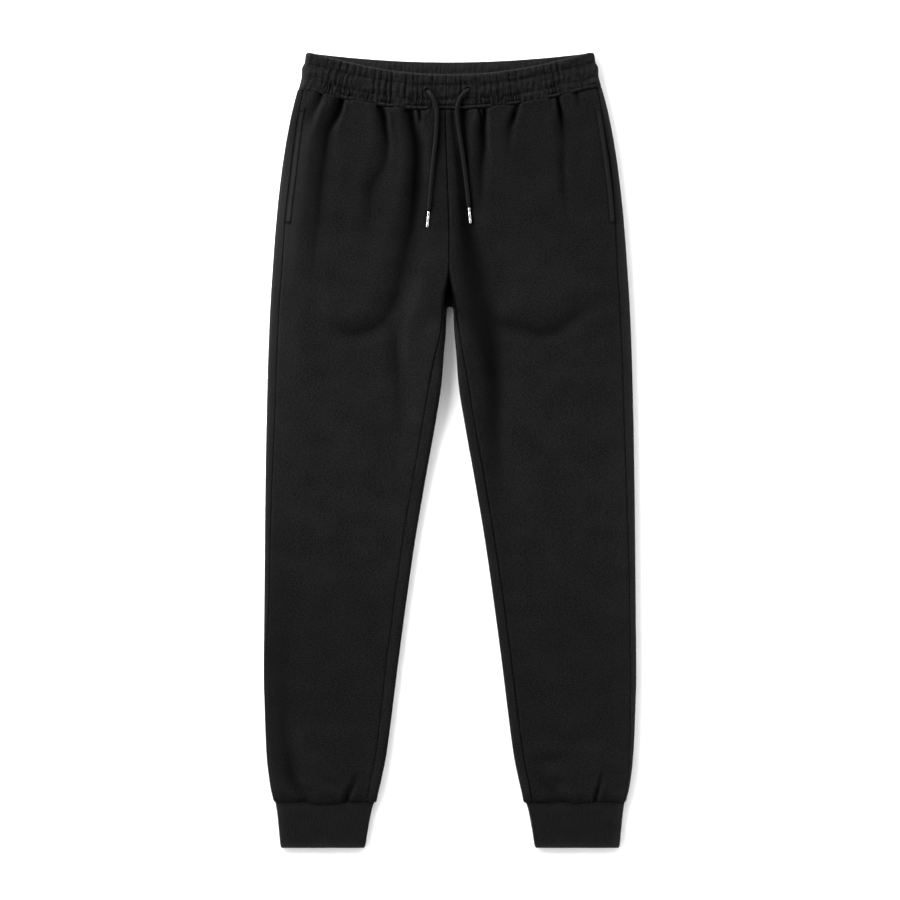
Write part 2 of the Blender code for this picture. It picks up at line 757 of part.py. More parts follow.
def band_outer(x, angle, wave, v):
    """A point of the band's outer face."""
    px, drop = band_place(x, angle, v)
    height = BAND_TOP + BAND_BULGE * bulge(v)
    if v == 0.0:
        height -= BAND_ROUND
    if abs(angle) < 90.0:
        side = 1.0 if x > 0.0 else -1.0
        px += side * BAND_REACH * math.cos(math.radians(angle))
        return px, drop, height / 2.0 * (1.0 + math.sin(math.radians(angle)))
    if angle < 0.0:
        return px, drop, 0.0
    press = GATHER_DEPTH * wave * (0.55 + 0.45 * bulge(v))
    return px, drop, height - press


def band_inner(x, angle, wave, v):
    """A point of the band's inner face: plain in front, gathered where the back shows."""
    px, drop = band_place(x, angle, v)
    middle, half = (BAND_INSIDE + BAND_WALL) / 2.0, (BAND_INSIDE - BAND_WALL) / 2.0
    if abs(angle) < 90.0:
        side = 1.0 if x > 0.0 else -1.0
        px += side * (BAND_REACH - BAND_WALL) * math.cos(math.radians(angle))
        return px, drop, middle + half * math.sin(math.radians(angle))
    if angle > 0.0:
        return px, drop, BAND_INSIDE
    shown = 1.0 - smooth(v / INNER_FADE)
    return px, drop, BAND_WALL + shown * (INNER_BULGE * bulge(v) - INNER_DEPTH * wave)


def waistband():
    """The gathered band: one strip bent into a flat ring, its ends meeting in front."""
    outer_rows = (0.0, 1.6, 6.8, 11.0, 13.5, 16.5, 22.8, 29.0, 32.0, 35.0, 40.0, BAND_HEIGHT)
    inner_rows = (0.0, 6.0, 13.5, 22.0, BAND_HEIGHT)
    data = MeshData()
    gathers = [station for side in (LEFT, RIGHT) for station in gather_stations(side)]
    behind = [station for side in (LEFT, RIGHT)
              for station in gather_stations(side, shoulders=(0.5,))]
    outer_set = band_set(gathers, [(x, 0.0) for x in (-120.0, -40.0, 40.0, 120.0)])
    inner_set = band_set([(x, 0.0) for x in (-145.0, -95.0, -45.0, 45.0, 95.0, 145.0)], behind)
    outer_marks = [column[0] for column in outer_set]
    inner_marks = [column[0] for column in inner_set]
    outer = [data.add_row([band_outer(x, angle, wave, v) for _, x, angle, wave in outer_set])
             for v in outer_rows]
    inner = [data.add_row([band_inner(x, angle, wave, v) for _, x, angle, wave in inner_set])
             for v in inner_rows]
    for low, high in zip(outer, outer[1:]):
        data.faces += join_rows(low, high)
    for low, high in zip(inner, inner[1:]):
        data.faces += join_rows(high, low)
    data.faces += join_rows(inner[0], outer[0], inner_marks, outer_marks)
    data.faces += join_rows(outer[-1], inner[-1], outer_marks, inner_marks)
    for column in (0, -1):
        outer_end = [row[column] for row in outer]
        inner_end = [row[column] for row in inner]
        data.faces += join_rows(outer_end, inner_end, list(outer_rows), list(inner_rows))
    return data


# ---------------------------------------------------------------- cuffs

def cuff_stations(ribbed):
    """Stations round a cuff from its inner edge: (mark, share across, edge angle, rib).

    The upper and the lower side each count 100 marks, and a folded edge EDGE_MARKS.
    """
    stations = [(EDGE_MARKS * angle / 180.0, 0.0, angle, 1.0) for angle in (0.0, 45.0, 90.0)]
    top = EDGE_MARKS / 2.0
    if ribbed:
        for k in range(2 * RIBS):
            share = (k + 0.5) / (2.0 * RIBS)
            stations.append((top + 100.0 * share, share, 90.0, float(k % 2)))
    else:
        stations += [(top + 12.5 * k, 0.125 * k, 90.0, 1.0) for k in range(1, 8)]
    stations += [(top + 100.0 + EDGE_MARKS * (90.0 - angle) / 180.0, 1.0, angle, 1.0)
                 for angle in (90.0, 45.0, 0.0, -45.0, -90.0)]
    below = top + 100.0 + EDGE_MARKS
    stations += [(below + 25.0 * k, 1.0 - 0.25 * k, -90.0, 1.0) for k in range(1, 4)]
    stations += [(below + 100.0 + EDGE_MARKS * (angle + 90.0) / 180.0, 0.0, angle, 1.0)
                 for angle in (-90.0, -45.0)]
    return stations


def cuff_point(side, row, station, inside):
    """A point of a cuff's outer face, or of its plain inner face."""
    _, share, angle, rib = station
    turn = math.radians(angle)
    near, far = side * (row.inner + CUFF_REACH), side * (row.outer - CUFF_REACH)
    reach = CUFF_REACH - (RIB_WALL if inside else 0.0)
    low, high = (RIB_WALL, RIB_INSIDE) if inside else (0.0, row.height)
    outward = {0.0: -side, 1.0: side}.get(share, 0.0)
    x = blend(near, far, share) + outward * reach * math.cos(turn)
    z = blend(low, high, 0.5 + 0.5 * math.sin(turn))
    return x, row.drop, z - (0.0 if inside else RIB_DEPTH * (1.0 - rib))


def join_rings(low, high, low_stations, high_stations):
    """Faces between two closed rings of a cuff."""
    whole = 2.0 * (100.0 + EDGE_MARKS)
    low_marks = [station[0] for station in low_stations] + [whole]
    high_marks = [station[0] for station in high_stations] + [whole]
    return join_rows(low + low[:1], high + high[:1], low_marks, high_marks)


def cuff(side):
    """A rib knit tube, open at both ends: ribs stand out of its wall over a plain inside."""
    data = MeshData()
    ribbed, plain = cuff_stations(ribbed=True), cuff_stations(ribbed=False)
    outer = [data.add_row([cuff_point(side, row, station, inside=False) for station in ribbed])
             for row in CUFF]
    inner = [data.add_row([cuff_point(side, row, station, inside=True) for station in plain])
             for row in (CUFF[0], CUFF[2], CUFF[-1])]
    for low, high in zip(outer, outer[1:]):
        data.faces += join_rings(low, high, ribbed, ribbed)
    for low, high in zip(inner, inner[1:]):
        data.faces += join_rings(high, low, plain, plain)
    data.faces += join_rings(inner[0], outer[0], plain, ribbed)
    data.faces += join_rings(outer[-1], inner[-1], ribbed, plain)
    return data


# ---------------------------------------------------------------- drawcord

def cord_points(side):
    """Points of the cord's middle line, evenly spaced on a smooth curve through its route."""
    route = [to_metres(point) for point in CORDS[side]]
    padded = [2.0 * route[0] - route[1], *route, 2.0 * route[-1] - route[-2]]
    fine = []
    for a, b, c, d in zip(padded, padded[1:], padded[2:], padded[3:]):
        for k in range(12):
            t = k / 12.0
            fine.append(0.5 * (2.0 * b + (c - a) * t + (2.0 * a - 5.0 * b + 4.0 * c - d) * t * t
                               + (3.0 * b - a - 3.0 * c + d) * t ** 3))
    fine.append(route[-1])
    lengths = [0.0]
    for a, b in zip(fine, fine[1:]):
        lengths.append(lengths[-1] + (b - a).length)
    count = round(lengths[-1] / (CORD_STEP * MM))
    points = []
    for k in range(count + 1):
        want = lengths[-1] * k / count
        spot = min(bisect_right(lengths, want) - 1, len(fine) - 2)
        t = (want - lengths[spot]) / (lengths[spot + 1] - lengths[spot])
        points.append(fine[spot].lerp(fine[spot + 1], t))
    return points


def cord(name, side, material, collection):
    """A round cord as a tube along its route."""
    curve = bpy.data.curves.new(name, "CURVE")
    curve.dimensions = "3D"
    curve.bevel_depth = CORD_RADIUS * MM
    curve.bevel_resolution = 2
    curve.use_fill_caps = True
    points = cord_points(side)
    spline = curve.splines.new("POLY")
    spline.points.add(len(points) - 1)
    for target, point in zip(spline.points, points):
        target.co = (*point, 1.0)
    curve.materials.append(material)
    part = bpy.data.objects.new(name, curve)
    collection.objects.link(part)
    return part


def aglet(name, side, material, collection):
    """A crimped metal tube on the cord's end, in line with it."""
    points = cord_points(side)
    along = (points[-1] - points[-2]).normalized()
    level = Vector((along.x, along.y, 0.0)).normalized()
    centre = points[-1] + level * (AGLET_LENGTH / 2.0 + SEAM) * MM
    centre.z -= (CORD_RADIUS - AGLET_RADIUS) * MM
    bm = bmesh.new()
    bmesh.ops.create_cone(bm, cap_ends=True, segments=16, radius1=AGLET_RADIUS * MM,
                          radius2=AGLET_RADIUS * MM, depth=AGLET_LENGTH * MM)
    mesh = bpy.data.meshes.new(name)
    bm.to_mesh(mesh)
    bm.free()
    mesh.materials.append(material)
    part = bpy.data.objects.new(name, mesh)
    part.location = centre
    part.rotation_mode = "QUATERNION"
    part.rotation_quaternion = level.to_track_quat("Z", "Y")
    collection.objects.link(part)
    bevel = part.modifiers.new("rounded ends", "BEVEL")
    bevel.width = 0.5 * MM
    bevel.segments = 2
    bevel.limit_method = "ANGLE"
    mesh.shade_smooth()
    mesh.set_sharp_from_angle(angle=math.radians(40.0))
    return part


def buttonhole(name, side, band, cutters):
    """Cut the hole that a cord leaves the band by, along the cord's first stretch."""
    points = [to_metres(point) for point in CORDS[side][:2]]
    along = (points[1] - points[0]).normalized()
    bm = bmesh.new()
    bmesh.ops.create_cone(bm, cap_ends=True, segments=16, radius1=(CORD_RADIUS + 0.4) * MM,
                          radius2=(CORD_RADIUS + 0.4) * MM, depth=14.0 * MM)
    mesh = bpy.data.meshes.new(name)
    bm.to_mesh(mesh)
    bm.free()
    cutter = bpy.data.objects.new(name, mesh)
    cutter.location = points[0] + along * (7.0 - 0.6) * MM
    cutter.rotation_mode = "QUATERNION"
    cutter.rotation_quaternion = along.to_track_quat("Z", "Y")
    cutter.hide_render = True
    cutter.display_type = "WIRE"
    cutters.objects.link(cutter)
    cut = band.modifiers.new(name, "BOOLEAN")
    cut.operation = "DIFFERENCE"
    cut.solver = "EXACT"
    cut.object = cutter


# ---------------------------------------------------------------- materials and assembly

def make_material(name, colour, roughness, metallic=0.0):
    material = bpy.data.materials.new(name)
    material.use_nodes = True
    shader = material.node_tree.nodes["Principled BSDF"]
    shader.inputs["Base Color"].default_value = (*colour, 1.0)
    shader.inputs["Roughness"].default_value = roughness
    shader.inputs["Metallic"].default_value = metallic
    material.diffuse_color = (*colour, 1.0)
    return material


def clear_scene():
    for thing in list(bpy.data.objects):
        bpy.data.objects.remove(thing, do_unlink=True)


def main():
    clear_scene()
    garment = bpy.data.collections.new("jogger_sweatpants")
    cutters = bpy.data.collections.new("cutters")
    bpy.context.scene.collection.children.link(garment)
    bpy.context.scene.collection.children.link(cutters)

    fleece = make_material("black_fleece", (0.014, 0.014, 0.015), 0.95)
    gathered = make_material("gathered_fleece", (0.013, 0.013, 0.014), 0.95)
    pocketing = make_material("pocket_fleece", (0.010, 0.010, 0.011), 0.95)
    rib = make_material("rib_knit", (0.012, 0.012, 0.013), 0.95)
    braid = make_material("braided_cord", (0.028, 0.028, 0.030), 0.9)
    steel = make_material("bright_steel", (0.80, 0.80, 0.82), 0.2, 1.0)

    for label, side in (("left", LEFT), ("right", RIGHT)):
        make_object(f"front_{label}", front_panel(side), fleece, garment)
        make_object(f"back_{label}", back_panel(side), fleece, garment)
        make_object(f"pocket_{label}", pocket_ply(side), pocketing, garment)
        make_object(f"cuff_{label}", cuff(side), rib, garment)
        cord(f"drawcord_{label}", side, braid, garment)
        aglet(f"aglet_{label}", side, steel, garment)
    band = make_object("waistband", waistband(), gathered, garment, smooth_angle=15.0)
    for label, side in (("left", LEFT), ("right", RIGHT)):
        buttonhole(f"buttonhole_{label}", side, band, cutters)


main()
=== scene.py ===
"""Jogger sweatpants laid flat on their back on a pale table, seen from straight above.

Frame: X runs across, +Y towards the waist, +Z up from the table. Left and right are those of
a person who looks down at the front. The garment's own places are (x, drop, z) in
millimetres, where drop is the distance below the waistband's top corners. They become metres
as a mesh is made.
"""

import logging
import math
from collections.abc import Sequence
from dataclasses import dataclass
from enum import Enum

import bmesh
import bpy
import numpy as np
from mathutils import Matrix, Vector

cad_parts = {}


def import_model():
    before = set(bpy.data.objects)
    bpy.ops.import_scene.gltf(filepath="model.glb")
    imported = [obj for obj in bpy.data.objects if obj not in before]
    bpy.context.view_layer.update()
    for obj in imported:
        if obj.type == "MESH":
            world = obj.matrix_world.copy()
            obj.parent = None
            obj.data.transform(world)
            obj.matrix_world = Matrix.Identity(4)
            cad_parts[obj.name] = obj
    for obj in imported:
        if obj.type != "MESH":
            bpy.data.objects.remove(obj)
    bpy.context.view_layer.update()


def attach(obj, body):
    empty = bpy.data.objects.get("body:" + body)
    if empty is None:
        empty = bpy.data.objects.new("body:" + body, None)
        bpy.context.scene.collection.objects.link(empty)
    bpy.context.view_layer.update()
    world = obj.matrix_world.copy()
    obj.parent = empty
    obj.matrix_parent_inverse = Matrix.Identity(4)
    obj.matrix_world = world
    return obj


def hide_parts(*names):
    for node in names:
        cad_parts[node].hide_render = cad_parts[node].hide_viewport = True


LOG = logging.getLogger("jogger_sweatpants")
MM = 0.001
BODY = "root"
CROSSING = 7                 # plain waves that cross in one uneven pattern
FLAT = 89.9                  # degrees; columns turned further lie on a face, others on an edge
DEEPEST = 0.97               # the most that painted shade and dark seams darken the cloth
Array = np.ndarray | float   # one number, or many
Table = Sequence[Sequence[float]]
Finish, Piece = bpy.types.Material, bpy.types.Object
Tree, Socket = bpy.types.NodeTree, bpy.types.NodeSocket


class Side(Enum):
    """One half of the garment, for someone who looks down at its front."""

    LEFT = -1
    RIGHT = 1

    @property
    def label(self) -> str:
        """The half's name, as the nodes have it."""
        return self.name.lower()


class Slot(Enum):
    """The record's material slots."""

    FLEECE = "fleece"
    WAISTBAND = "waistband"
    POCKET = "pocket_ply"
    RIB = "rib_knit"
    CORD = "cord"
    TIP = "cord_tip"


# ------------------------------------------------------------------ curves and waves


def unit(t: Array) -> Array:
    """The value, held between 0 and 1."""
    return np.clip(t, 0.0, 1.0)


def smooth(t: Array) -> Array:
    """Ease from 0 to 1."""
    t = unit(t)
    return t * t * (3.0 - 2.0 * t)


def mix(a: Array, b: Array, t: Array) -> Array:
    """Straight way from a to b."""
    return a + (b - a) * t


def hill(distance: Array, width: float) -> Array:
    """A round hill of height 1 about 0."""
    return np.exp(-((distance / width) ** 2))


def dome(height: Array, turn: Array) -> Array:
    """Height on a round edge, turned by 0 at its side and by a quarter turn on top."""
    return height / 2.0 * (1.0 + np.sin(turn))


def seam_line(away: Array, depth: Array) -> Array:
    """Height of a seam's narrow groove and of the low swell beside it."""
    return -(0.2 + depth) * hill(away, 0.9) + 0.12 * hill(away - 3.2, 1.7)


def waves(x: Array, y: Array, length: float, seed: int) -> Array:
    """Irregular soft waves.

    Args:
        x: Places across.
        y: Places along.
        length: Distance from crest to crest, about.
        seed: Picks the pattern.

    Returns:
        Heights, mostly between -1 and 1.
    """
    rng = np.random.default_rng(seed)
    total = 0.0
    for _ in range(CROSSING):
        turn, size, start = rng.uniform(0.0, math.pi), rng.uniform(0.7, 1.4), rng.uniform(0.0, 7.0)
        along = x * math.cos(turn) + y * math.sin(turn)
        total = total + np.sin(math.tau * along / (length * size) + start)
    return total / math.sqrt(CROSSING)


class Profile:
    """A smooth curve through the rows of a table that never overshoots them."""

    def __init__(self, table: Table, column: int = 1) -> None:
        """Fit the slopes.

        Args:
            table: Rows of a place and one or more values.
            column: Which value to follow.
        """
        rows = np.array(table, float)
        self.places, self.values = rows[:, 0], rows[:, column]
        rises = np.diff(self.values) / np.diff(self.places)
        before, after = rises[:-1], rises[1:]
        both = np.where(before * after > 0.0, before + after, 1.0)
        turns = np.where(before * after > 0.0, 2.0 * before * after / both, 0.0)
        self.slopes = np.concatenate((rises[:1], turns, rises[-1:]))

    def __call__(self, place: Array) -> Array:
        """The curve's value at each place.

        Args:
            place: Where to read it.

        Returns:
            Its values.
        """
        spot = np.searchsorted(self.places, place, side="right") - 1
        spot = np.clip(spot, 0, len(self.places) - 2)
        step = self.places[spot + 1] - self.places[spot]
        t = unit((place - self.places[spot]) / step)
        start, end = self.values[spot], self.values[spot + 1]
        leave, arrive = self.slopes[spot] * step, self.slopes[spot + 1] * step
        return (start * (1 + 2 * t) * (1 - t) ** 2 + leave * t * (1 - t) ** 2
                + end * t * t * (3 - 2 * t) - arrive * t * t * (1 - t))


def through(points: Table, step: float) -> Array:
    """Even steps on the smooth curve through some points.

    Args:
        points: The points, of any length each.
        step: About the distance between the new points.

    Returns:
        One row a point.
    """
    given = np.array(points, float)
    ends = np.vstack((2.0 * given[0] - given[1], given, 2.0 * given[-1] - given[-2]))
    t = np.arange(0.0, 1.0, 1.0 / 24.0)[:, None]
    fine = [0.5 * (2.0 * b + (c - a) * t + (2.0 * a - 5.0 * b + 4.0 * c - d) * t * t
                   + (3.0 * b - a - 3.0 * c + d) * t ** 3)
            for a, b, c, d in zip(ends, ends[1:], ends[2:], ends[3:])]
    fine = np.vstack((*fine, given[-1:]))
    lengths = np.concatenate(([0.0], np.cumsum(np.linalg.norm(np.diff(fine, axis=0), axis=1))))
    wanted = np.linspace(0.0, lengths[-1], max(round(lengths[-1] / step), 1) + 1)
    return np.column_stack([np.interp(wanted, lengths, column) for column in fine.T])


def steps(start: float, *spans: tuple[float, float]) -> Array:
    """Places from a start to the end of the last span.

    Args:
        start: The first place.
        *spans: End and step of each stretch, one after another.

    Returns:
        The places, in order and each once.
    """
    parts = []
    for end, step in spans:
        parts.append(np.linspace(start, end, max(round((end - start) / step), 1) + 1)[:-1])
        start = end
    return np.concatenate((*parts, [start]))


# ------------------------------------------------------------------ the garment's form

# Drop, half width of the garment, and the outer seam's distance in from that outline on the
# left and on the right
OUTER = (
    (45, 194.4, 8, 6.4), (62, 199, 9.2, 7.4), (86, 204.6, 9.7, 8.8), (116, 210.2, 10.9, 9.2),
    (163, 217, 12.2, 9.2), (209, 221.9, 11.7, 10.6), (270, 226.7, 12.5, 12.7), (340, 230.9, 12, 12.6),
    (430, 234, 11.6, 12.3), (560, 236.4, 8.6, 10.3), (700, 237.7, 6.2, 7.6), (792, 238.5, 2.2, 7.1),
    (850, 237, 1.9, 6.2), (900, 234.6, 1.7, 5), (930, 231.2, 1.7, 4.2), (945, 228.6, 1.7, 3.6),
    (956, 225.2, 1.7, 3.2),
)
# Drop and half width of the gap between the legs
GAP = (
    (325, 4), (355, 5.2), (380, 7.4), (424, 10.8), (470, 17.9), (540, 30.4), (620, 44), (700, 55.6),
    (790, 67.5), (850, 74.9), (900, 81.7), (935, 88.9), (956, 94),
)
# Drop and x of the left and the right front's inner edge: centre seam, notch, then inseam
INSEAM = (
    (45, -6.2, -6.2), (76, -6, -6), (160, -3.2, -3.2), (239, -0.9, -0.9), (275, -1.3, -1.3),
    (290, -3.9, 1.3), (307, -7.9, 4.8), (325, -9.5, 6.1), (345, -10.6, 9.7), (365, -13.4, 13.2),
    (388, -19, 17.2), (415, -24.6, 22.3), (450, -30.5, 27.6), (540, -46.2, 43.2), (620, -59.6, 56.8),
    (700, -70.6, 68.4), (790, -82.3, 80.3), (850, -88.6, 87.6), (900, -94.9, 94.2), (935, -102, 101),
    (956, -106.6, 105.8),
)
# Drop and height of the front above the table: at its outer fold, between the folds, and at the
# legs' inner fold
LOFT = (
    (45, 8.8, 8.8, 8.8), (60, 9.6, 10.6, 9.6), (110, 9.4, 11.4, 9.6), (200, 9.2, 11.2, 9.3),
    (228, 9.2, 11.1, 9.2), (275, 9.2, 12.6, 9.2), (330, 9, 13.2, 15), (360, 8.9, 11.8, 17),
    (420, 8.8, 9.6, 16), (520, 8.7, 7.9, 11), (620, 8.6, 7, 8.9), (850, 8.6, 6.8, 8.6), (920, 9, 8.2, 9),
    (944, 9.2, 9, 9.2), (956, 7.8, 7.6, 7.8),
)
# x across each leg, and how far the leg's blousing hem hangs over the cuff seam there
HEM_LIP = (
    (-226, 3), (-207, 1.9), (-186, 1.6), (-175, 4.6), (-158, 5.4), (-142, 4.2), (-127, 2.2), (-116, 1.6),
    (-106, 2.4), (-98, 3.4), (98, 3.8), (106, 2.2), (140, 1.8), (152, 2.2), (159, 4.4), (174, 3.3),
    (186, 2), (197, 1.2), (218, 2.8), (226, 3),
)

# Drop, and how strong the painted highlight along the left hip's fold is
RIM_HIGHLIGHT = ((45, 0.1), (85, 0.05), (112, 0.2), (150, 0.4), (200, 0.55), (330, 0.5))


@dataclass(frozen=True)
class Form:
    """Outline, seams and heights that all the cloth pieces share."""

    length: float = 1017.6
    crotch: float = 275.0        # drop of the notch's upper end
    fork: float = 325.0
    fork_depth: float = 7.0
    hem_start: float = 946.0     # below it the leg hangs over the cuff
    hem_edge: float = 951.5      # below it the hem turns under
    leg_end: float = 956.0
    seam: float = 0.3            # gap between two panels
    cloth: float = 1.9           # thickness of the cloth
    reach: float = 5.0           # depth of the round outer edge
    roll: float = 42.0           # distance from an edge to where the front lies down
    leg_top_reach: float = 3.2   # depth of the round inner edge at the fork
    leg_top_turn: float = 60.0   # distance over which it grows to its full reach
    lowest: float = 3.9          # the front lies nowhere lower
    band_height: float = 45.0
    seam_half: float = 188.0     # half the waist seam's width
    front_sag: float = 28.0
    back_sag: float = 11.5
    left_droop: float = 2.5
    sag_fade: float = 170.0      # distance over which the waist's curve fades out

    outer_width = Profile(OUTER)
    outseam_inset = {Side.LEFT: Profile(OUTER, 2), Side.RIGHT: Profile(OUTER, 3)}
    gap_width = Profile(GAP)
    inner_edge = {Side.LEFT: Profile(INSEAM), Side.RIGHT: Profile(INSEAM, 2)}
    edge_loft = Profile(LOFT)
    middle_loft = Profile(LOFT, 2)
    inner_loft = Profile(LOFT, 3)
    hem_lip = Profile(HEM_LIP)
    rim_highlight = Profile(RIM_HIGHLIGHT)

    def sag(self, x: Array, front: bool) -> Array:
        """How far the flat waist hangs below its corners, on the front or the back."""
        depth, power = (self.front_sag, 1.12) if front else (self.back_sag, 1.05)
        return depth * np.maximum(0.0, 1.0 - (x / self.seam_half) ** 2) ** power

    def band_at(self, x: Array) -> Array:
        """Height of the waistband: a little more on the left."""
        return self.band_height + self.left_droop * smooth(-x / 60.0)

    def waist_drop(self, row: Array, x: Array, front: bool) -> Array:
        """Drop of a row at x: the waist's curve fades out down the hips."""
        lowered = self.sag(x, front) + self.band_at(x) - self.band_height
        return row + lowered * (1.0 - smooth((row - self.band_height) / self.sag_fade))

    def parting(self, drop: Array) -> Array:
        """0 at the fork, 1 where the legs' inner edges have their full roll."""
        return smooth((drop - self.fork) / self.leg_top_turn)

    def inner_reach(self, drop: Array) -> Array:
        """Depth of the legs' round inner edge."""
        return mix(self.leg_top_reach, self.reach, self.parting(drop))

    def inner_height(self, drop: Array) -> Array:
        """Height of the legs' inner edge."""
        return mix(self.middle_loft(drop), self.inner_loft(drop), self.parting(drop))

    def outseam_x(self, side: Side, drop: Array) -> Array:
        """x of the outer seam."""
        return side.value * (self.outer_width(drop) - self.outseam_inset[side](drop))

    def seam_depth(self, side: Side, drop: Array) -> tuple[Array, Array]:
        """How deep a side's inner and outer seams lie, from 0 to 1.

        Args:
            side: Left or right.
            drop: Places along.

        Returns:
            Depths of the inner and the outer seam.
        """
        if side is Side.RIGHT:
            return 0.75, mix(0.6, 0.4, smooth((drop - 230.0) / 60.0))
        inner = mix(0.9, 0.3, smooth((drop - 390.0) / 70.0))
        return inner * mix(1.0, 0.5, smooth((drop - 860.0) / 80.0)), 0.35

    def hem(self, row: Array) -> tuple[Array, Array]:
        """How far a row hangs over the cuff, from 0 to 1, and how low its turned edge dips."""
        dip = 1.7 * smooth((row - self.hem_edge) / 4.5) ** 2
        return smooth((row - self.hem_start) / (self.leg_end - self.hem_start)), dip

    def rolled(self, distance: Array) -> Array:
        """1 at a folded edge, 0 where the front lies down on the back."""
        return 0.5 + 0.5 * np.cos(math.pi * unit(distance / self.roll))

    def rim(self, side: Side, x: Array, drop: Array) -> Array:
        """How strong the painted highlight along the outer fold is, from 0 to 1.

        Args:
            side: Left or right.
            x: Places across.
            drop: Places along.

        Returns:
            The amounts.
        """
        inward = np.maximum(self.outer_width(drop) - np.abs(x), 0.0)
        if side is Side.RIGHT:
            return 0.5 * hill(inward, 4.5) + 0.24 * np.exp(-inward / 13.0)
        hip = 1.0 - smooth((drop - 215.0) / 120.0)
        broad = self.rim_highlight(drop) * np.exp(-(inward / 23.0) ** 3)
        narrow = mix(0.5, 0.2, smooth((drop - 330.0) / 300.0)) * np.exp(-inward / 13.0)
        return mix(narrow, broad, hip)

    def front(self, x: Array, drop: Array, relief: Array) -> tuple[Array, Array]:
        """Lay places of the front on the garment's upper side.

        Args:
            x: Places across.
            drop: Places along.
            relief: What folds and seams add to the height, away from the round edges.

        Returns:
            x and height of the places.
        """
        outline, edge, middle = (self.outer_width(drop), self.edge_loft(drop),
                                 self.middle_loft(drop))
        outward = outline - np.abs(x) - self.reach
        gap, reach = self.gap_width(drop), self.inner_reach(drop)
        inward = np.abs(x) - gap - reach
        below = drop > self.fork
        parting = self.parting(drop)
        lift = (edge - middle) * self.rolled(outward)
        side = (self.inner_loft(drop) - middle) * parting * self.rolled(inward)
        lift = lift + np.where(below, side, 0.0)
        keep = smooth(outward / 8.0 + 0.25)
        keep = keep * np.where(below, mix(1.0, smooth(inward / 8.0 + 0.25), parting), 1.0)
        z = np.maximum(middle + lift + keep * relief, self.lowest)
        turn = np.arccos(unit(-outward / self.reach))
        z = np.where(outward < 0.0, dome(edge, turn), z)
        turn = np.arccos(unit(-inward / reach))
        return x, np.where(below & (inward < 0.0), dome(self.inner_height(drop), turn), z)


FORM = Form()


@dataclass(frozen=True)
class Fold:
    """A soft trough in the front, or a ridge where its depth is below 0.

    Each point of its route holds x, drop, depth and two widths: for a fold that runs down,
    those towards -x and towards +x. A narrow flank stands steep and round, as where the next
    cloth lies over the fold, and a wide one sinks slowly to the fold's line.
    """

    route: Table
    curve: float = 1.35      # how round a wide flank is
    swell: float = 0.16      # share of the depth that stands up beside the fold
    steep: float = 2.2       # how round a narrow flank is
    narrow: float = 3.5      # widths up to this are narrow

    def depth(self, x: Array, drop: Array) -> Array:
        """Depth of the fold at each place, below 0 on the swells beside it.

        Args:
            x: Places across.
            drop: Places along.

        Returns:
            The depths.
        """
        nearest, depth, width = np.full(x.shape, np.inf), np.zeros(x.shape), np.ones(x.shape)
        route = through(self.route, 5.0)
        for a, b in zip(route, route[1:]):
            run = b[:2] - a[:2]
            away_x, away_drop = x - a[0], drop - a[1]
            t = unit((away_x * run[0] + away_drop * run[1]) / (run @ run))
            away_x, away_drop = away_x - t * run[0], away_drop - t * run[1]
            away = np.hypot(away_x, away_drop)
            closer = away < nearest
            across = (run[0] * away_drop - run[1] * away_x) / (
                np.maximum(away, 1e-6) * math.hypot(*run))
            wide = mix(mix(a[4], b[4], t), mix(a[3], b[3], t), 0.5 + 0.5 * across)
            nearest = np.where(closer, away, nearest)
            depth = np.where(closer, mix(a[2], b[2], t), depth)
            width = np.where(closer, np.maximum(wide, 0.5), width)
        t = nearest / width
        power = mix(self.steep, self.curve, smooth((width - self.narrow) / 2.5))
        return depth * (np.exp(-t ** power) - self.swell * hill(t - 2.3, 0.9))


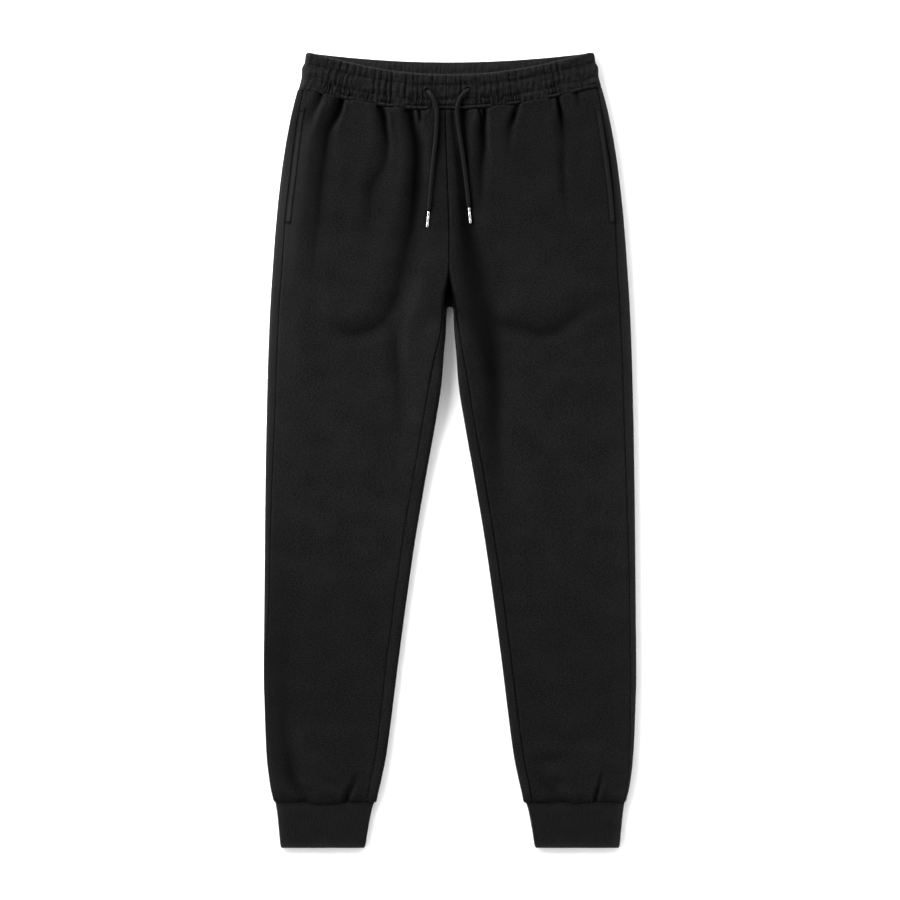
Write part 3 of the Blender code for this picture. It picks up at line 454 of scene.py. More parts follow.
# Folds of the left hip and thigh, which fan out from the gathered waist
LEFT_FOLDS = (
    Fold(((-160.5, 46, 3, 4.5, 2.8), (-168.2, 66.6, 3.2, 5.5, 3), (-173.5, 79.4, 2.6, 6, 3.2),
        (-179, 98, 0.4, 6, 4))),
    Fold(((-132.5, 50, 3.6, 4.5, 1.9), (-137, 60, 5.4, 5.6, 2.2), (-138, 66.6, 6, 6.8, 2.4),
        (-142.4, 79.4, 5.8, 8.4, 3), (-154, 98.6, 4.6, 9.2, 5), (-158, 117.8, 3.9, 9.5, 7),
        (-161.5, 143.4, 3.4, 10, 9), (-165, 175.4, 2.8, 9, 8), (-167, 207, 2.2, 9, 7),
        (-172, 245.8, 1.5, 9, 7), (-176, 290, 0.3, 9, 8)), 1.25),
    Fold(((-95, 56, 2.6, 4, 2.4), (-90.4, 66.6, 3.4, 5, 2.4), (-84, 79.4, 5.6, 7, 3.2),
        (-81.5, 98.6, 4.8, 7, 2.6), (-80.2, 117.8, 3.2, 7, 4), (-83, 143.4, 2.4, 11, 5),
        (-92, 158, 2.5, 9, 8), (-101, 175.4, 2.7, 9, 9), (-102.5, 207, 1.8, 10, 10),
        (-104, 250, 0.4, 10, 10)), 1.3),
    Fold(((-56, 60, 3.4, 3.5, 1.9), (-53.9, 66.6, 3.8, 4.5, 1.9), (-50, 79.4, 4.8, 6.5, 2.2),
        (-45.8, 98.6, 5.4, 7.5, 5.6), (-41.8, 117.8, 6.2, 8, 6.5), (-41, 143.4, 6.2, 8.5, 6.5),
        (-43, 175.4, 5.8, 9, 8), (-46.4, 207, 4.4, 10, 9), (-54, 245.8, 3.4, 13, 12),
        (-62, 285, 3, 13, 12), (-70.5, 318, 3.2, 13, 11), (-86, 344, 3, 13, 10), (-105, 355, 2.8, 13, 9),
        (-127, 360.5, 2.3, 12, 9), (-150, 352, 0.9, 12, 9), (-168, 340, 0.1, 12, 9)), 1.4),
    Fold(((-47.8, 58, 2.2, 1.8, 1.7), (-47.5, 66.6, 2.6, 1.8, 1.7), (-46.2, 79.4, 3, 2, 1.8),
        (-45.5, 92, 0.4, 2, 1.8))),
    Fold(((-41.2, 58, 2, 1.9, 1.8), (-39.8, 70, 2.6, 2, 1.8), (-38.5, 79.4, 3, 2.4, 2),
        (-37.4, 94, 0.4, 2.4, 2))),
    Fold(((-33.2, 60, 1.2, 1.7, 1.7), (-32.4, 78, 0.2, 1.7, 1.7))),
    Fold(((-25.5, 64, 1, 1.7, 1.7), (-24.8, 82, 0.2, 1.7, 1.7))),
    Fold(((-68, 352, 0.6, 7, 6), (-68.5, 378, 2.2, 8, 6), (-66, 412, 1.8, 8, 7), (-64, 452, 1, 8, 8),
        (-62, 505, 0.1, 8, 8))),
    Fold(((-36, 272, -0.4, 10, 9), (-40, 312, -1.6, 11, 10), (-48, 345, -1.8, 10, 12),
        (-53, 385, -1.2, 8, 10), (-55, 430, -0.2, 8, 10)), 1.8, 0),
    Fold(((-163, 56, -0.8, 6, 7), (-170, 82, -1.8, 10, 7), (-180, 120, -1.9, 11, 8),
        (-186, 165, -1.5, 11, 9), (-192, 215, -1.1, 11, 10), (-198, 270, -0.2, 10, 12)), 1.8, 0),
)
# Folds of the right hip and thigh: fewer, and not as deep
RIGHT_FOLDS = (
    Fold(((2.6, 62, 1.7, 2.8, 3), (4.4, 81, 2, 3.4, 3.4), (7.6, 112, 2.6, 4, 4),
        (12.4, 143.4, 3.4, 5, 5), (16.5, 175.4, 3.6, 7, 6), (20, 215, 4.1, 9, 11),
        (23.6, 245.8, 4, 13, 16), (32, 290.6, 3.9, 20, 21), (41, 329, 3.9, 25, 18),
        (50, 367, 4.1, 21, 16), (54, 404, 4.2, 14, 14), (57, 430, 3.7, 14, 12), (58.5, 500, 2.4, 13, 10),
        (60, 575, 0.4, 12, 10)), 2.5, 0.05),
    Fold(((14, 60, 2.4, 4, 4), (16.5, 79.4, 3.4, 4, 6), (17.2, 98.6, 3.4, 4, 6), (19, 117.8, 3, 4, 5),
        (21.6, 143.4, 2.4, 4, 5), (25.5, 178, 1.2, 4, 5), (28, 205, 0.2, 4, 5))),
    Fold(((43.4, 58, 2.8, 2.2, 1.9), (43.4, 66.6, 3.2, 2.6, 2), (44.8, 79.4, 4.6, 4, 2.6),
        (42.8, 98.6, 5.6, 6, 3.6), (43.4, 117.8, 4.8, 6.5, 4), (40.4, 143.4, 3.4, 6, 6),
        (39.6, 175.4, 2.2, 8, 5), (38, 212, 0.4, 8, 6)), 1.4),
    Fold(((36.2, 58, 2.4, 1.8, 1.7), (37, 66.6, 2.8, 2, 1.8), (38.3, 79.4, 2.8, 2.2, 2),
        (40.4, 92, 0.6, 2.2, 2))),
    Fold(((86.5, 54, 0.8, 2.6, 2), (85.8, 64, 1.2, 3, 2.6), (83.8, 73, 2.9, 3.4, 3.4),
        (82, 82, 3.8, 4, 3.4), (77.4, 97, 2.7, 5, 4.4), (76, 117.8, 1.5, 5, 4.6),
        (76, 138, 0.2, 6, 5)), 1.35, 0.06),
    Fold(((87.8, 56, 1.8, 1.7, 1.7), (87.2, 72, 1.2, 1.7, 1.7), (86.6, 80, 0.2, 1.7, 1.7))),
    Fold(((136, 48, 1, 3.2, 2.6), (138, 57, 2.2, 3.2, 2.4), (139.6, 66.6, 5, 2.6, 2.4),
        (141.6, 79.4, 4.7, 3.8, 4.6), (144.2, 98.6, 3, 6.2, 7), (145.6, 117.8, 2.2, 7.4, 7),
        (144.5, 143.4, 2.5, 8, 5), (146, 175.4, 2, 6, 5), (150, 210, 0.8, 6, 4),
        (152, 236, 0.1, 6, 4)), 1.3, 0.03),
    Fold(((128.5, 52, 1.6, 1.9, 1.8), (130.5, 70, 0.2, 1.9, 1.8))),
    Fold(((160, 45, 2, 3, 2.6), (164, 60, 1.6, 3.6, 3), (168.5, 75, 0.2, 4, 3.4))),
    Fold(((56, 336, 0.6, 8, 12), (70, 347, 2.2, 8, 14), (88.5, 352.5, 2.6, 8, 15),
        (108, 358.5, 2.8, 8, 15), (125, 359.7, 3, 7.5, 15), (140, 353.5, 2.6, 8, 14),
        (152, 343.6, 2.2, 8, 14), (170, 332, 1.6, 8, 13), (189, 320, 0.9, 8, 12),
        (206, 311, 0.1, 8, 12)), 1.5, 0.1),
)
# What gathers above each cuff, and soft unevenness of the shins
LEFT_HEM_FOLDS = (
    Fold(((-214, 838, 0.4, 12, 10), (-210.6, 878, 1.5, 11, 10), (-205.2, 908, 2.3, 11, 9),
        (-200.5, 930, 2.7, 10, 9), (-193, 943, 1.8, 8, 7), (-186, 953, 1.4, 6, 6),
        (-184, 958, 0.8, 5, 5))),
    Fold(((-118.5, 922, 0.2, 3.6, 3), (-121.5, 933, 1.2, 4, 3), (-126.6, 943, 2.5, 4.2, 3),
        (-132, 954, 3.3, 4.2, 3), (-133.5, 959, 2.6, 4, 3))),
    Fold(((-216, 690, 0.3, 16, 14), (-214, 760, 1.1, 15, 13), (-211, 820, 1.2, 14, 12),
        (-213, 860, 0.5, 12, 12))),
    Fold(((-196, 868, -0.2, 9, 10), (-192, 886, -1.3, 10, 12), (-186, 908, -0.8, 10, 12),
        (-182, 925, -0.1, 9, 10)), 1.8, 0),
    Fold(((-176, 926, 0.2, 6, 6), (-156, 932, 0.8, 6, 6), (-138, 927, 0.2, 6, 6))),
    Fold(((-200, 842, 0.2, 12, 12), (-160, 852, 0.7, 12, 12), (-118, 846, 0.2, 12, 12))),
)
RIGHT_HEM_FOLDS = (
    Fold(((194.6, 918, 0.2, 2.4, 3), (193, 929, 1.2, 2.4, 3), (190, 939, 2.4, 2.3, 3),
        (185.7, 953, 2.5, 2.2, 3), (184.2, 959, 1.8, 2.2, 3))),
    Fold(((108, 912, 0.3, 9, 8), (118, 930, 1.4, 10, 8), (132, 944, 1.7, 9, 8), (142, 954, 0.8, 8, 8))),
    Fold(((112, 900, 0.1, 7, 6), (128, 904, 1.5, 7, 6), (146, 902, 0.9, 7, 6), (162, 906, 0.1, 7, 6))),
    Fold(((126, 928, 0.1, 5, 5), (143, 932, 0.9, 5, 5), (158, 928, 0.1, 5, 5))),
    Fold(((205, 866, 0.2, 12, 12), (160, 880, 0.6, 12, 12), (116, 866, 0.2, 12, 12))),
)
FOLDS = {Side.LEFT: (*LEFT_FOLDS, *LEFT_HEM_FOLDS), Side.RIGHT: (*RIGHT_FOLDS, *RIGHT_HEM_FOLDS)}

# Stretches of x where the waist seam shows, and how clearly: between them the body's cloth
# puffs up to it
SEAM_SHOWS = (
    (-184, -163, 0.35), (-141, -126, 0.8), (-92, -72, 0.9), (-57, -28, 1), (-15, 52, 1), (73, 91, 0.9),
    (127, 142, 0.9), (156, 190, 0.7),
)


def seam_shows(x: Array) -> Array:
    """1 where the waist seam shows, 0 where the body's cloth hides it.

    Args:
        x: Places along the seam.

    Returns:
        The amounts.
    """
    total = np.zeros(np.shape(x))
    for start, end, share in SEAM_SHOWS:
        total = total + share * smooth((x - start) / 5.0 + 0.5) * smooth((end - x) / 5.0 + 0.5)
    return unit(total)


# ------------------------------------------------------------------ making meshes


def lay(points: Array) -> Array:
    """Turn places (x, drop, z) in millimetres into points of the frame in metres."""
    points = np.asarray(points, float)
    return np.stack((points[..., 0], FORM.length / 2.0 - points[..., 1], points[..., 2]), -1) * MM


def girth(places: Array) -> Array:
    """How far across the cloth each place lies, in rows of x, drop and height."""
    run = np.hypot(np.diff(places[..., 0]), np.diff(places[..., 2]))
    return np.concatenate((np.zeros_like(run[..., :1]), np.cumsum(run, axis=-1)), axis=-1)


def put(name: str, data: bpy.types.ID) -> Piece:
    """Put a mesh, a light or a camera into the scene.

    Args:
        name: Its name.
        data: The mesh, light or camera.

    Returns:
        Its object.
    """
    thing = bpy.data.objects.new(name, data)
    bpy.context.scene.collection.objects.link(thing)
    return thing


def show(form: bmesh.types.BMesh, name: str, finish: Finish) -> Piece:
    """Put a finished form into the scene as a smooth object, and let go of the form.

    Args:
        form: The form.
        name: The object's name.
        finish: The material.

    Returns:
        The object.
    """
    mesh = bpy.data.meshes.new(name)
    form.to_mesh(mesh)
    form.free()
    mesh.shade_smooth()
    mesh.materials.append(finish)
    return put(name, mesh)


def lay_cloth(name: str, places: Array, grain: Array, finish: Finish, weld: bool = False,
              left_out: Array | None = None, up: bool | None = None,
              marks: dict[str, Array] | None = None) -> Piece:
    """Make a piece from a grid whose corners are moved to where the cloth lies.

    Args:
        name: The piece's name.
        places: (x, drop, z) of each corner, as rows of columns.
        grain: Places on the unrolled cloth.
        finish: The piece's material.
        weld: Whether edges that meet are sewn together, as round a tube.
        left_out: Which of the grid's faces aren't there, as rows of columns.
        up: Whether most of the cloth faces up, or None for a closed shape.
        marks: Values of each corner that the material reads, by name.

    Returns:
        The piece.
    """
    rows, columns = places.shape[:2]
    bm = bmesh.new()
    bmesh.ops.create_grid(bm, x_segments=columns - 1, y_segments=rows - 1, size=0.5)
    grid = np.array([vert.co[:2] for vert in bm.verts]) + 0.5
    column = np.rint(grid[:, 0] * (columns - 1)).astype(int)
    row = np.rint(grid[:, 1] * (rows - 1)).astype(int)
    laid, threads = lay(places)[row, column], np.asarray(grain)[row, column] * MM
    for vert, point in zip(bm.verts, laid):
        vert.co = point
    thread = bm.loops.layers.uv.new("grain")
    layers = {key: bm.verts.layers.float.new(key) for key in marks or {}}
    for key, layer in layers.items():
        for vert, value in zip(bm.verts, marks[key][row, column]):
            vert[layer] = float(value)
    for face in bm.faces:
        for loop in face.loops:
            loop[thread].uv = threads[loop.vert.index]
    if left_out is not None:
        gone = [face for face in bm.faces
                if left_out[min(row[v.index] for v in face.verts),
                            min(column[v.index] for v in face.verts)]]
        bmesh.ops.delete(bm, geom=gone, context="FACES")
    if weld:
        bmesh.ops.remove_doubles(bm, verts=bm.verts, dist=1e-6)
    bmesh.ops.recalc_face_normals(bm, faces=bm.faces)
    facing = sum(face.normal.z * face.calc_area() for face in bm.faces)
    if up is not None and (facing > 0.0) != up:
        bmesh.ops.reverse_faces(bm, faces=bm.faces)
    return show(bm, name, finish)


def close(piece: Piece) -> Piece:
    """Fill the holes at a piece's ends and turn all its faces outward.

    Args:
        piece: A welded piece.

    Returns:
        The same piece.
    """
    bm = bmesh.new()
    bm.from_mesh(piece.data)
    bmesh.ops.holes_fill(bm, edges=[e for e in bm.edges if e.is_boundary], sides=0)
    bmesh.ops.recalc_face_normals(bm, faces=bm.faces)
    bm.to_mesh(piece.data)
    bm.free()
    return piece


def thicken(piece: Piece, wall: float) -> None:
    """Give a sheet its wall, inwards from its outer face.

    Args:
        piece: The sheet.
        wall: Its thickness.
    """
    shell = piece.modifiers.new("cloth", "SOLIDIFY")
    shell.thickness = wall * MM
    shell.offset = -1.0


def sew(name: str, lines: Sequence[Array], finish: Finish, stitch: float = 2.7,
        gap: float = 0.7, thread: float = 0.34) -> Piece:
    """Lay a row of stitches along each line.

    Args:
        name: The piece's name.
        lines: (x, drop, z) along each line, on top of the cloth.
        finish: The thread's material.
        stitch: Length of a stitch.
        gap: Distance between two stitches.
        thread: Radius of the thread.

    Returns:
        The piece.
    """
    bm = bmesh.new()
    for line in lines:
        one = bmesh.new()
        points = [Vector(point) for point in lay(through(line, (stitch + gap) / 2.0))]
        for a, b in zip(points[::2], points[1::2]):
            along = (b - a).normalized()
            turn = along.to_track_quat("Z", "Y").to_matrix().to_4x4()
            size = Matrix.Diagonal((thread * MM, thread * MM, stitch * MM / 2.0, 1.0))
            bmesh.ops.create_icosphere(one, subdivisions=1, radius=1.0,
                                       matrix=Matrix.Translation((a + b) / 2.0) @ turn @ size)
        part = bpy.data.meshes.new("stitches")
        one.to_mesh(part)
        one.free()
        bm.from_mesh(part)
        bpy.data.meshes.remove(part)
    return show(bm, name, finish)


def own(piece: Piece, slot: Slot, *nodes: str) -> Piece:
    """Tie a piece to the garment's body and hide the solids that it stands for.

    Args:
        piece: The piece.
        slot: Its finish's slot; not used.
        nodes: Solids that it replaces.

    Returns:
        The same piece.
    """
    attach(piece, BODY)
    if nodes:
        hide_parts(*nodes)
    LOG.info("made %s", piece.name)
    return piece


# ------------------------------------------------------------------ finishes

PAINTED_SHADE = "#010101"            # painted shade: the near black that creases, notches and cast shadows are darkened towards
FIBRE_ENDS = "#8c8c8c"       # the pile's sheen


def linear(code: str) -> tuple[float, float, float, float]:
    """Turn an sRGB hex colour into Blender's linear one."""
    parts = [int(code[k:k + 2], 16) / 255.0 for k in (1, 3, 5)]
    return (*(c / 12.92 if c <= 0.04045 else ((c + 0.055) / 1.055) ** 2.4 for c in parts), 1.0)


def feed(tree: Tree, node: bpy.types.Node, inputs: dict) -> None:
    """Link or set a node's inputs.

    Args:
        tree: The material's nodes.
        node: The node.
        inputs: Values or other nodes' outputs, by name or number.
    """
    for key, value in inputs.items():
        if isinstance(value, Socket):
            tree.links.new(value, node.inputs[key])
        else:
            node.inputs[key].default_value = value


def add_node(tree: Tree, kind: str, inputs: dict | None = None,
             **settings: object) -> bpy.types.Node:
    """Add a node with its settings and inputs.

    Args:
        tree: The material's nodes.
        kind: The node's type.
        inputs: Values or other nodes' outputs, by name or number.
        **settings: The node's own settings.

    Returns:
        The node.
    """
    node = tree.nodes.new(kind)
    for key, value in settings.items():
        setattr(node, key, value)
    feed(tree, node, inputs or {})
    return node


def start_material(name: str) -> tuple[Finish, Tree, bpy.types.Node]:
    """A new material, its nodes and its shader.

    Args:
        name: The finish's name.

    Returns:
        The three of them.
    """
    material = bpy.data.materials.new(name)
    material.use_nodes = True
    tree = material.node_tree
    return material, tree, tree.nodes["Principled BSDF"]


def mark(tree: Tree, name: str) -> Socket:
    """A value that the cloth's corners carry."""
    return add_node(tree, "ShaderNodeAttribute", attribute_name=name).outputs["Fac"]


def on_cloth(tree: Tree) -> Socket:
    """Places on the unrolled cloth."""
    return add_node(tree, "ShaderNodeUVMap", uv_map="grain").outputs["UV"]


def in_piece(tree: Tree) -> Socket:
    """Places in the piece's own space."""
    return add_node(tree, "ShaderNodeTexCoord").outputs["Object"]


def tufts(tree: Tree, place: Socket, size: float, detail: float, rough: float = 0.5) -> Socket:
    """Cloudy noise.

    Args:
        tree: The material's nodes.
        place: Where each spot lies.
        size: Width of a cloud, in millimetres.
        detail: How many finer noises it holds.
        rough: How strong these are.

    Returns:
        A value of about 0.5.
    """
    return add_node(tree, "ShaderNodeTexNoise", {
        "Vector": place, "Scale": 1.0 / (size * MM), "Detail": detail,
        "Roughness": rough}).outputs["Fac"]


def spread(tree: Tree, value: Socket, old: tuple[float, float],
           new: tuple[float, float] = (0.0, 1.0)) -> Socket:
    """Stretch a value from its old range to a new one.

    Args:
        tree: The material's nodes.
        value: What is stretched.
        old: Its range.
        new: The range wanted.

    Returns:
        The stretched value.
    """
    return add_node(tree, "ShaderNodeMapRange", {
        "Value": value, "From Min": old[0], "From Max": old[1], "To Min": new[0],
        "To Max": new[1]}).outputs["Result"]


def blend(tree: Tree, share: Socket | float, first: Socket | str, second: Socket | str) -> Socket:
    """Mix two values or two colours.

    Args:
        tree: The material's nodes.
        share: How much there is of the second.
        first: A value, or a colour as a hex code or from another node.
        second: The other one. Of a pair of colours it is the hex code.

    Returns:
        The mixed value or colour.
    """
    kind = "RGBA" if isinstance(second, str) else "FLOAT"
    first, second = (linear(part) if isinstance(part, str) else part for part in (first, second))
    return add_node(tree, "ShaderNodeMix", {"Factor": share, "A": first, "B": second},
                    data_type=kind).outputs["Result"]


def pile(tree: Tree, colour: Socket, painted_highlight: str) -> Socket:
    """Colour of cloth by its marks: paler by a painted highlight, darker by painted shade and dark
    seams.
    """
    highlighted = blend(tree, mark(tree, "painted_light"), colour, painted_highlight)
    return blend(tree, mark(tree, "pressed_and_shaded"), highlighted, PAINTED_SHADE)


def bump(tree: Tree, height: Socket, strength: float, depth: float,
         under: Socket | None = None) -> Socket:
    """Relief too fine to model.

    Args:
        tree: The material's nodes.
        height: The pattern that draws it.
        strength: How clearly it shows, from 0 to 1.
        depth: Its height in millimetres.
        under: Relief that it comes on top of.

    Returns:
        The surface's direction.
    """
    inputs = {"Height": height, "Strength": strength, "Distance": depth * MM}
    if under is not None:
        inputs["Normal"] = under
    return add_node(tree, "ShaderNodeBump", inputs).outputs["Normal"]


@dataclass(frozen=True)
class BrushedFleece:
    """Cotton fleece, knitted and brushed: a dull black pile with lighter fibre ends.

    The fibre ends show as small flecks, and light that grazes the pile gives its soft sheen.
    Painted shade darkens its colour in folds, notches and cast shadows, and seams show darker; a painted
    highlight lightens it along rims and ridges.
    """

    name: str = "brushed_cotton_fleece"
    dark: str = "#040404"
    light: str = "#171717"
    # colour of the painted highlight along rims and ridges
    painted_highlight: str = "#212121"
    fleck: float = 1.7       # mm; real tufts are about 0.5 mm, too fine to show
    fibre: float = 0.9       # mm, drawn about twice as coarse as real
    patch: float = 38.0      # mm, where the pile lies differently
    course: float = 2.7      # mm along a knitted course
    slim: float = 0.4        # how much narrower a course is than long
    sheen: float = 0.085

    def build(self) -> Finish:
        """Make the material.

        Returns:
            The material.
        """
        material, tree, shader = start_material(self.name)
        grain = on_cloth(tree)
        fleck = tufts(tree, grain, self.fleck, 3.0, 0.65)
        drawn_out = add_node(tree, "ShaderNodeMapping", {
            "Vector": grain, "Scale": (self.slim, 1.0, 1.0)}).outputs["Vector"]
        course = tufts(tree, drawn_out, self.course * self.slim, 2.0, 0.6)
        both = blend(tree, 0.45, fleck, course)
        uneven = blend(tree, 0.09, both, tufts(tree, grain, self.patch, 3.0))
        tone = spread(tree, uneven, (0.425, 0.575))
        colour = blend(tree, tone, self.dark, self.light)
        fine = bump(tree, tufts(tree, grain, self.fibre, 4.0, 0.7), 0.5, 0.35)
        feed(tree, shader, {
            "Base Color": pile(tree, colour, self.painted_highlight),
            "Normal": bump(tree, both, 0.45, 0.5, fine), "Roughness": 0.94,
            "Specular IOR Level": 0.035, "Sheen Weight": self.sheen, "Sheen Roughness": 0.35,
            "Sheen Tint": linear(FIBRE_ENDS)})
        return material


@dataclass(frozen=True)
class RibKnit:
    """Two-by-two rib knit of cotton with elastane: smoother than fleece, with fine wales.

    The ribs themselves are modelled. The material adds the small slanted loops on them.
    """

    name: str = "cotton_rib_knit"
    dark: str = "#070707"
    light: str = "#141414"
    # colour of the painted highlight along the cuff's edges
    painted_highlight: str = "#242424"
    loop: float = 1.3        # mm along a wale, drawn coarser than the real 0.8
    speck: float = 1.9       # mm

    def build(self) -> Finish:
        """Make the material.

        Returns:
            The material.
        """
        material, tree, shader = start_material(self.name)
        grain = on_cloth(tree)
        loops = add_node(tree, "ShaderNodeTexWave", {
            "Vector": grain, "Scale": 0.314 / (self.loop * MM) / 2.0, "Distortion": 3.0,
            "Detail": 2.0, "Detail Scale": 2.0}, bands_direction="Y").outputs["Fac"]
        speck = tufts(tree, grain, self.speck, 3.0, 0.6)
        tone = spread(tree, speck, (0.3, 0.7))
        colour = blend(tree, tone, self.dark, self.light)
        looped = bump(tree, loops, 0.4, 0.2)
        feed(tree, shader, {
            # painted shade and a painted highlight, as the corners' marks give them
            "Base Color": pile(tree, colour, self.painted_highlight),
            "Normal": bump(tree, speck, 0.4, 0.35, looped), "Roughness": 0.9,
            "Specular IOR Level": 0.04, "Sheen Weight": 0.06, "Sheen Roughness": 0.4,
            "Sheen Tint": linear(FIBRE_ENDS)})
        return material


@dataclass(frozen=True)
class BraidedPolyester:
    """Braided polyester cord: a fuller black than the fleece, with a slight lustre."""

    name: str = "braided_polyester_cord"
    dark: str = "#060606"
    light: str = "#0f0f0f"
    speck: float = 0.5       # mm

    def build(self) -> Finish:
        """Make the material.

        Returns:
            The material.
        """
        material, tree, shader = start_material(self.name)
        speck = tufts(tree, on_cloth(tree), self.speck, 3.0)
        tone = blend(tree, 0.35, mark(tree, "raised"), speck)
        colour = blend(tree, tone, self.dark, self.light)
        # painted shade darkens the cord's sides and underside
        feed(tree, shader, {
            "Base Color": blend(tree, mark(tree, "low"), colour, PAINTED_SHADE),
            "Normal": bump(tree, speck, 0.4, 0.12), "Roughness": 0.7,
            "Specular IOR Level": 0.04})
        return material


@dataclass(frozen=True)
class SewingThread:
    """Spun polyester thread: black, with the slight gloss of its twisted filaments."""

    name: str = "polyester_sewing_thread"
    dark: str = "#050505"
    light: str = "#0c0c0c"
    twist: float = 1.1       # mm

    def build(self) -> Finish:
        """Make the material.

        Returns:
            The material.
        """
        material, tree, shader = start_material(self.name)
        twist = tufts(tree, in_piece(tree), self.twist, 2.0)
        feed(tree, shader, {
            "Base Color": blend(tree, twist, self.dark, self.light),
            "Normal": bump(tree, twist, 0.3, 0.08), "Roughness": 0.6,
            "Specular IOR Level": 0.03})
        return material


@dataclass(frozen=True)
class PlatedSteel:
    """Nickel-plated steel, drawn thin and crimped: bright, and worn a little dull in spots."""

    name: str = "nickel_plated_steel"
    bright: str = "#c4c4c5"
    dull: str = "#9c9c9e"
    spot: float = 2.4        # mm

    def build(self) -> Finish:
        """Make the material.

        Returns:
            The material.
        """
        material, tree, shader = start_material(self.name)
        wear = tufts(tree, in_piece(tree), self.spot, 4.0)
        feed(tree, shader, {
            "Base Color": blend(tree, wear, self.bright, self.dull),
            "Roughness": spread(tree, wear, (0.0, 1.0), (0.16, 0.34)),
            "Normal": bump(tree, wear, 0.15, 0.05), "Metallic": 1.0})
        return material


# ------------------------------------------------------------------ drawcord


@dataclass(frozen=True)
class Drawcord:
    """One free end of the drawcord: a round braid that ends in a crimped metal tip."""

    side: Side
    route: Table
    radius: float = 2.75
    strands: int = 8
    pitch: float = 9.0       # mm along the cord for one turn of a strand
    relief: float = 0.16     # mm that a strand stands out
    around: int = 32
    step: float = 0.7        # mm between the braid's rings
    neck: float = 4.0        # mm over which the braid is pressed into the tip
    pressed_and_shaded: float = 0.72    # share of its radius that is left there
    tip_radius: float = 1.6
    tip_length: float = 20.0

    def line(self, step: float) -> Array:
        """Places along the cord's middle."""
        return through(self.route, step)

    def braid(self, finish: Finish) -> Piece:
        """The braid: a tube round the route, with the strands' crossings raised.

        Args:
            finish: The material.

        Returns:
            The piece.
        """
        middle = self.line(self.step)
        along = np.gradient(middle, axis=0)
        along /= np.linalg.norm(along, axis=1)[:, None]
        across = np.cross(along, (0.0, 0.0, 1.0))
        across /= np.linalg.norm(across, axis=1)[:, None]
        over = np.cross(across, along)
        length = np.linspace(0.0, 1.0, len(middle)) * len(middle) * self.step
        turn = np.linspace(0.0, math.tau, self.around + 1)
        s, angle = np.meshgrid(length, turn, indexing="ij")
        way = math.tau * s / self.pitch * self.strands / 4.0
        one, two = np.sin(angle * self.strands / 2.0 + way), np.sin(angle * self.strands / 2.0 - way)
        raised = np.maximum(one, two) * 0.5 + 0.5
        radius = self.radius - self.relief * (1.0 - raised)
        radius = radius * mix(self.pressed_and_shaded, 1.0, smooth((length[-1] - s) / self.neck))
        places = (middle[:, None] + (radius * np.cos(angle))[..., None] * across[:, None]
                  + (radius * np.sin(angle))[..., None] * over[:, None])
        grain = np.stack((angle * self.radius, s), -1)
        # painted shade on the cord's sides and underside
        low = 0.7 * smooth((0.6 - np.sin(angle)) / 0.6)
        return close(lay_cloth(f"drawcord_{self.side.label}_braid", places, grain, finish,
                               weld=True, marks={"raised": raised, "low": low}))

    def tip(self, finish: Finish) -> Piece:
        """The metal tip: a thin tube, rolled in at its ends and crimped twice.

        Args:
            finish: The material.

        Returns:
            The piece.
        """
        r, n = self.tip_radius, self.tip_length
        outline = ((0.0, 0.4), (r - 0.75, 0.0), (r - 0.2, 0.15), (r, 0.6), (r, 5.0),
                   (r - 0.3, 5.5), (r - 0.3, 6.1), (r, 6.6), (r, n - 6.6), (r - 0.3, n - 6.1),
                   (r - 0.3, n - 5.5), (r, n - 5.0), (r, n - 0.6), (r - 0.2, n - 0.15),
                   (r - 0.75, n), (0.0, n - 0.4))
        bm = bmesh.new()
        verts = [bm.verts.new((x * MM, 0.0, z * MM)) for x, z in outline]
        edges = [bm.edges.new(pair) for pair in zip(verts, verts[1:])]
        bmesh.ops.spin(bm, geom=verts + edges, cent=(0, 0, 0), axis=(0, 0, 1), angle=math.tau,
                       steps=28, use_merge=True)
        bmesh.ops.remove_doubles(bm, verts=bm.verts, dist=1e-6)
        bmesh.ops.recalc_face_normals(bm, faces=bm.faces)
        end, before = (Vector(point) for point in lay(self.line(9.0)[:-3:-1]))
        way = end - before
        way.z = 0.0
        way.normalize()
        place = end + way * FORM.seam * MM - Vector((0, 0, (self.radius - r) * MM))
        turn = way.to_track_quat("Z", "Y").to_matrix().to_4x4()
        bmesh.ops.transform(bm, matrix=Matrix.Translation(place) @ turn, verts=bm.verts)
        return show(bm, f"drawcord_{self.side.label}_tip", finish)

    def build(self, braid: Finish, steel: Finish) -> None:
        """Make the cord and its tip.

        Args:
            braid: The cord's material.
            steel: The tip's.
        """
        label = self.side.label
        cord = own(self.braid(braid), Slot.CORD, f"drawcord_{label}")
        tip = own(self.tip(steel), Slot.TIP, f"aglet_{label}")
        path = lay(self.line(3.0))


DRAWCORDS = (
    Drawcord(Side.LEFT, ((-28.9, 49.3, 9.7), (-23.4, 56, 14.4), (-18.7, 66.6, 14.1), (-16.9, 77, 13.4),
        (-17.1, 90, 12.9), (-18.5, 111.4, 12.6), (-20.7, 130.6, 12.5), (-23.1, 156.2, 12.3),
        (-25.4, 181.8, 11.9), (-27.3, 203.2, 11.7))),
    Drawcord(Side.RIGHT, ((23.6, 48, 9.7), (18.2, 52.6, 13.9), (12.4, 60.2, 13.7), (9.4, 69.1, 13.4),
        (9, 79.4, 11.9), (11.2, 98.6, 10.7), (14.8, 121.6, 10.7), (18.7, 149.8, 10.8),
        (22.5, 181.8, 10.9), (24.2, 198.2, 11.1))),
)


# ------------------------------------------------------------------ waistband

# The band's width in the upper tunnels, as a share of its seam's
UPPER_SHARE = 0.957
